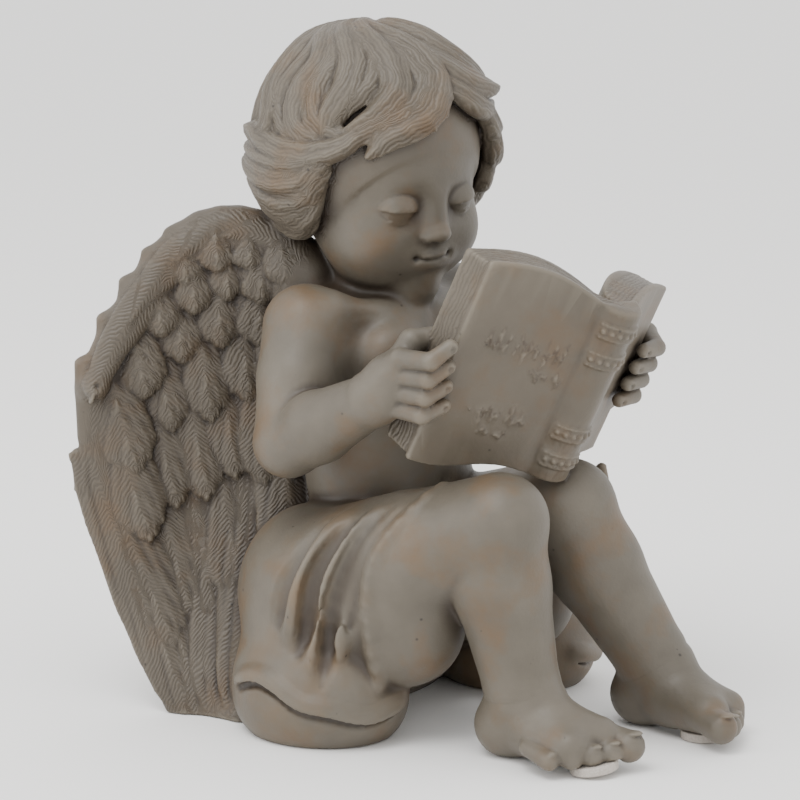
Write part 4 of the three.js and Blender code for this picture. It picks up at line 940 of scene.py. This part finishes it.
# the run of each strand, barb and leaf in millimetres, for lines too fine for the mesh
grain = np.zeros(len(points), np.float32)
nearest = np.full(len(points), 1.5, np.float32)
for mirror in (1, -1):
    for ribbon in hair_locks + feathers if mirror == 1 else feathers:
        at = points * 1000 * (mirror, 1, 1)
        close = np.nonzero(((at > ribbon.low - 1) & (at < ribbon.high + 1)).all(axis=1))[0]
        distance, along, aside = ribbon.measure(*at[close].T, full=True)
        value = aside if ribbon in hair_locks else 0.75 * along - 0.8 * np.abs(aside)
        closer = distance < nearest[close]
        grain[close[closer]] = value[closer]
        nearest[close[closer]] = distance[closer]
grained = (nearest < 1.4).astype(np.float32)
for side in SIDES:
    out, up, clear = cover_coordinates(side, *(points * 1000).T)
    s = SIDES[side]
    own = (book_coordinates(*(points * 1000).T)[0] * s > -0.5) & (shares["book"] > 0.4)
    leaf = own & (clear < -COVER_THICKNESS) & (clear > -PAGES_THICKNESS * 0.9)
    grain[leaf] = clear[leaf]
    grained[leaf] = 1
    grained[own & ~leaf] = 0
out, up, clear = cover_coordinates("right", *(points * 1000).T)
flat = (book_coordinates(*(points * 1000).T)[0] < -SPINE_HALF) & (clear > -0.6) & (shares["book"] > 0.5)
ink = np.clip(-writing(out, up, 0) / STROKE_RELIEF, 0, 1) * flat
masks = {"ink": ink, "recess": fine, "painted_shade_and_wash": broad, "grain": grain, "grained": grained, **shares}
for name, values in masks.items():
    attribute = angel.data.attributes.new(name, "FLOAT", "POINT")
    attribute.data.foreach_set("value", values.astype(np.float32))


def linear(colour):
    """An sRGB hex colour as linear numbers."""
    channels = [int(colour[i:i + 2], 16) / 255 for i in (1, 3, 5)]
    return [c / 12.92 if c <= 0.04045 else ((c + 0.055) / 1.055) ** 2.4 for c in channels] + [1]


def node(tree, kind, settings=None, **links):
    """Adds a node; settings are its values and links the sockets that feed its inputs."""
    new = tree.nodes.new(kind)
    for key, value in (settings or {}).items():
        if hasattr(new, key):
            setattr(new, key, value)
        else:
            new.inputs[key].default_value = value
    for key, source in links.items():
        tree.links.new(source, new.inputs[key.replace("_", " ")])
    return new


# Filled resin cast in a silicone mould, painted stone grey, then washed with thin brown paint that was wiped
# off the high places. Broad hollows also get painted shade. It is dull, with a faint sheen where it was
# wiped.
resin = bpy.data.materials.new("washed_cast_resin")
resin.use_nodes = True
tree = resin.node_tree
tree.nodes.clear()
where = tree.nodes.new("ShaderNodeTexCoord").outputs["Object"]


def mask(name):
    return node(tree, "ShaderNodeAttribute", {"attribute_name": name}).outputs["Fac"]


def ramp(source, low, high):
    new = node(tree, "ShaderNodeMapRange", {"From Min": low, "From Max": high}, Value=source)
    return new.outputs["Result"]


def times(a, b):
    new = node(tree, "ShaderNodeMath", {"operation": "MULTIPLY"})
    tree.links.new(a, new.inputs[0])
    if isinstance(b, float):
        new.inputs[1].default_value = b
    else:
        tree.links.new(b, new.inputs[1])
    return new.outputs[0]


def painted(below, factor, colour):
    new = node(tree, "ShaderNodeMix", {"data_type": "RGBA"})
    tree.links.new(factor, new.inputs["Factor"])
    tree.links.new(below, new.inputs["A"])
    new.inputs["B"].default_value = linear(colour)
    return new.outputs["Result"]


def cloudy(size, detail, low, high):
    """Soft patches about this many metres across."""
    settings = {"Scale": 1 / size, "Detail": detail, "Roughness": 0.6}
    noise = node(tree, "ShaderNodeTexNoise", settings, Vector=where)
    return ramp(noise.outputs["Fac"], low, high)


# the bare stone grey, its cloudy and ochre patches, and the darker tone of each carved part
GRAIN_PITCH = 1.1
stone = node(tree, "ShaderNodeRGB").outputs[0]
stone.default_value = linear("#5d564b")
colour = painted(stone, cloudy(0.03, 4, 0.4, 0.75), "#4c463c")
colour = painted(colour, times(cloudy(0.018, 5, 0.5, 0.72), 0.65), "#5f4629")
colour = painted(colour, times(mask("wing"), 0.75), "#382c1e")
colour = painted(colour, times(mask("hair"), 0.4), "#4d4030")
colour = painted(colour, times(mask("book"), 0.55), "#483c2c")
colour = painted(colour, times(times(mask("cloth"), cloudy(0.02, 3, 0.42, 0.6)), 0.7), "#5f4626")

# fine dark lines that run with the hair, the barbs and the leaves
strain = node(tree, "ShaderNodeTexNoise", {"Scale": 160.0, "Detail": 4.0}, Vector=where).outputs["Fac"]
line = node(tree, "ShaderNodeMath", {"operation": "MULTIPLY_ADD"})
tree.links.new(mask("grain"), line.inputs[0])
line.inputs[1].default_value = 2 * math.pi / GRAIN_PITCH
tree.links.new(times(strain, 22.0), line.inputs[2])
wave = node(tree, "ShaderNodeMath", {"operation": "SINE"})
tree.links.new(line.outputs[0], wave.inputs[0])
fine_line = times(ramp(wave.outputs[0], -1.0, 1.0), mask("grained"))
colour = painted(colour, times(ramp(fine_line, 0.5, 1.0), 0.3), "#21180f")

# the brown wash darkened with painted shade in broad hollows, the brown wash left in fine recesses and on
# the strokes, the wiped high places, and pinholes
# painted shade: broad hollows darkened to a deep brown, on top of the real wash
colour = painted(colour, times(ramp(mask("painted_shade_and_wash"), 0.1, 0.75), 0.78), "#291d12")
colour = painted(colour, times(ramp(mask("recess"), 0.06, 0.42), 0.9), "#1f160e")
colour = painted(colour, times(mask("ink"), 0.75), "#35271a")
colour = painted(colour, times(ramp(mask("recess"), -0.12, -0.4), 0.45), "#7d7567")
speck = node(tree, "ShaderNodeTexVoronoi", {"Scale": 260.0}, Vector=where).outputs["Distance"]
chance = cloudy(0.006, 2, 0.6, 0.64)
colour = painted(colour, times(times(ramp(speck, 0.16, 0.08), chance), 0.85), "#1d150e")

grit = node(tree, "ShaderNodeTexNoise", {"Scale": 900.0, "Detail": 4.0}, Vector=where).outputs["Fac"]
rough_skin = node(tree, "ShaderNodeBump", {"Strength": 0.2, "Distance": 0.0004}, Height=grit)
bump = node(tree, "ShaderNodeBump", {"Strength": 0.4, "Distance": 0.0004, "invert": True}, Height=fine_line)
tree.links.new(rough_skin.outputs["Normal"], bump.inputs["Normal"])
shader = node(tree, "ShaderNodeBsdfPrincipled", {"Roughness": 0.52, "IOR": 1.5}, Base_Color=colour)
tree.links.new(bump.outputs["Normal"], shader.inputs["Normal"])
tree.links.new(shader.outputs["BSDF"], tree.nodes.new("ShaderNodeOutputMaterial").inputs["Surface"])
angel.data.materials.append(resin)

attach(angel, "root")
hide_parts("angel_casting")


# Foot pads
# Round stick-on pads, cut from light grey closed-cell foam, pressed under the front of each foot.

# Cut foam: pale, quite dull, with small open cells at the cut.
foam = bpy.data.materials.new("cut_closed_cell_foam")
foam.use_nodes = True
tree = foam.node_tree
tree.nodes.clear()
where = tree.nodes.new("ShaderNodeTexCoord").outputs["Object"]
cells = node(tree, "ShaderNodeTexVoronoi", {"Scale": 1800.0}, Vector=where).outputs["Distance"]
pale = node(tree, "ShaderNodeRGB").outputs[0]
pale.default_value = linear("#b8b1a9")
colour = painted(pale, cells, "#a49c93")
bump = node(tree, "ShaderNodeBump", {"Strength": 0.4, "Distance": 0.0003}, Height=cells)
shader = node(tree, "ShaderNodeBsdfPrincipled", {"Roughness": 0.95}, Base_Color=colour)
tree.links.new(bump.outputs["Normal"], shader.inputs["Normal"])
tree.links.new(shader.outputs["BSDF"], tree.nodes.new("ShaderNodeOutputMaterial").inputs["Surface"])

for side in SIDES:
    middle, normal = pad_frame(side)
    bpy.ops.object.select_all(action="DESELECT")
    bpy.ops.mesh.primitive_cylinder_add(
        vertices=64,
        radius=PAD_DIAMETER / 2000,
        depth=PAD_THICKNESS / 1000,
        location=Vector(middle / 1000),
        rotation=Vector(normal).to_track_quat("Z", "X").to_euler(),
    )
    pad = bpy.context.object
    pad.name = f"{side}_pad"
    bpy.ops.object.transform_apply(location=True, rotation=True, scale=True)
    bpy.ops.object.modifier_add(type="BEVEL")
    pad.modifiers[-1].width = 0.00025
    pad.modifiers[-1].segments = 3
    bpy.ops.object.modifier_apply(modifier=pad.modifiers[-1].name)
    bpy.ops.object.shade_smooth_by_angle(angle=math.radians(40))
    pad.data.materials.append(foam)
    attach(pad, "root")
    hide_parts(f"{side}_foot_pad")


# Floor, light and camera
# A plain pale floor with soft studio light from above and the left. The camera stands to the figure's front
# right and a little above it.

paper = bpy.data.materials.new("pale_backdrop")
paper.use_nodes = True
paper.node_tree.nodes["Principled BSDF"].inputs["Base Color"].default_value = linear("#f4f3f1")
paper.node_tree.nodes["Principled BSDF"].inputs["Roughness"].default_value = 0.9
bpy.ops.object.select_all(action="DESELECT")
bpy.ops.mesh.primitive_plane_add(size=8, location=(0, 0, -0.0002))
floor = bpy.context.object
floor.name = "floor"
floor.data.materials.append(paper)

for name, place, size, power in (
    ("key_softbox", (-0.6, -0.1, 1.1), 0.6, 9.0),
    ("left_softbox", (-1.0, 0.5, 0.5), 0.5, 3.0),
    ("right_softbox", (0.7, -0.9, 0.45), 0.7, 0.6),
):
    bpy.ops.object.light_add(type="AREA", location=place)
    lamp = bpy.context.object
    lamp.name = name
    lamp.data.size = size
    lamp.data.energy = power
    lamp.rotation_euler = (Vector((0, 0, 0.09)) - Vector(place)).to_track_quat("-Z", "Y").to_euler()

world = bpy.data.worlds.new("studio")
bpy.context.scene.world = world
world.use_nodes = True
world.node_tree.nodes["Background"].inputs["Color"].default_value = linear("#ffffff")
world.node_tree.nodes["Background"].inputs["Strength"].default_value = 1.7

CAMERA_PLACE = (-0.65575, -0.54653, 0.23892)
CAMERA_AZIMUTH, CAMERA_ELEVATION = math.radians(-50), math.radians(10)
FOCAL_PIXELS, IMAGE_PIXELS = 3040, 800
bpy.ops.object.camera_add(location=CAMERA_PLACE, rotation=(math.pi / 2 - CAMERA_ELEVATION, 0, CAMERA_AZIMUTH))
camera = bpy.context.object
camera.name = "photo_camera"
camera.data.sensor_width = 36
camera.data.lens = camera.data.sensor_width * FOCAL_PIXELS / IMAGE_PIXELS
camera.data.clip_start = 0.05
bpy.context.scene.camera = camera
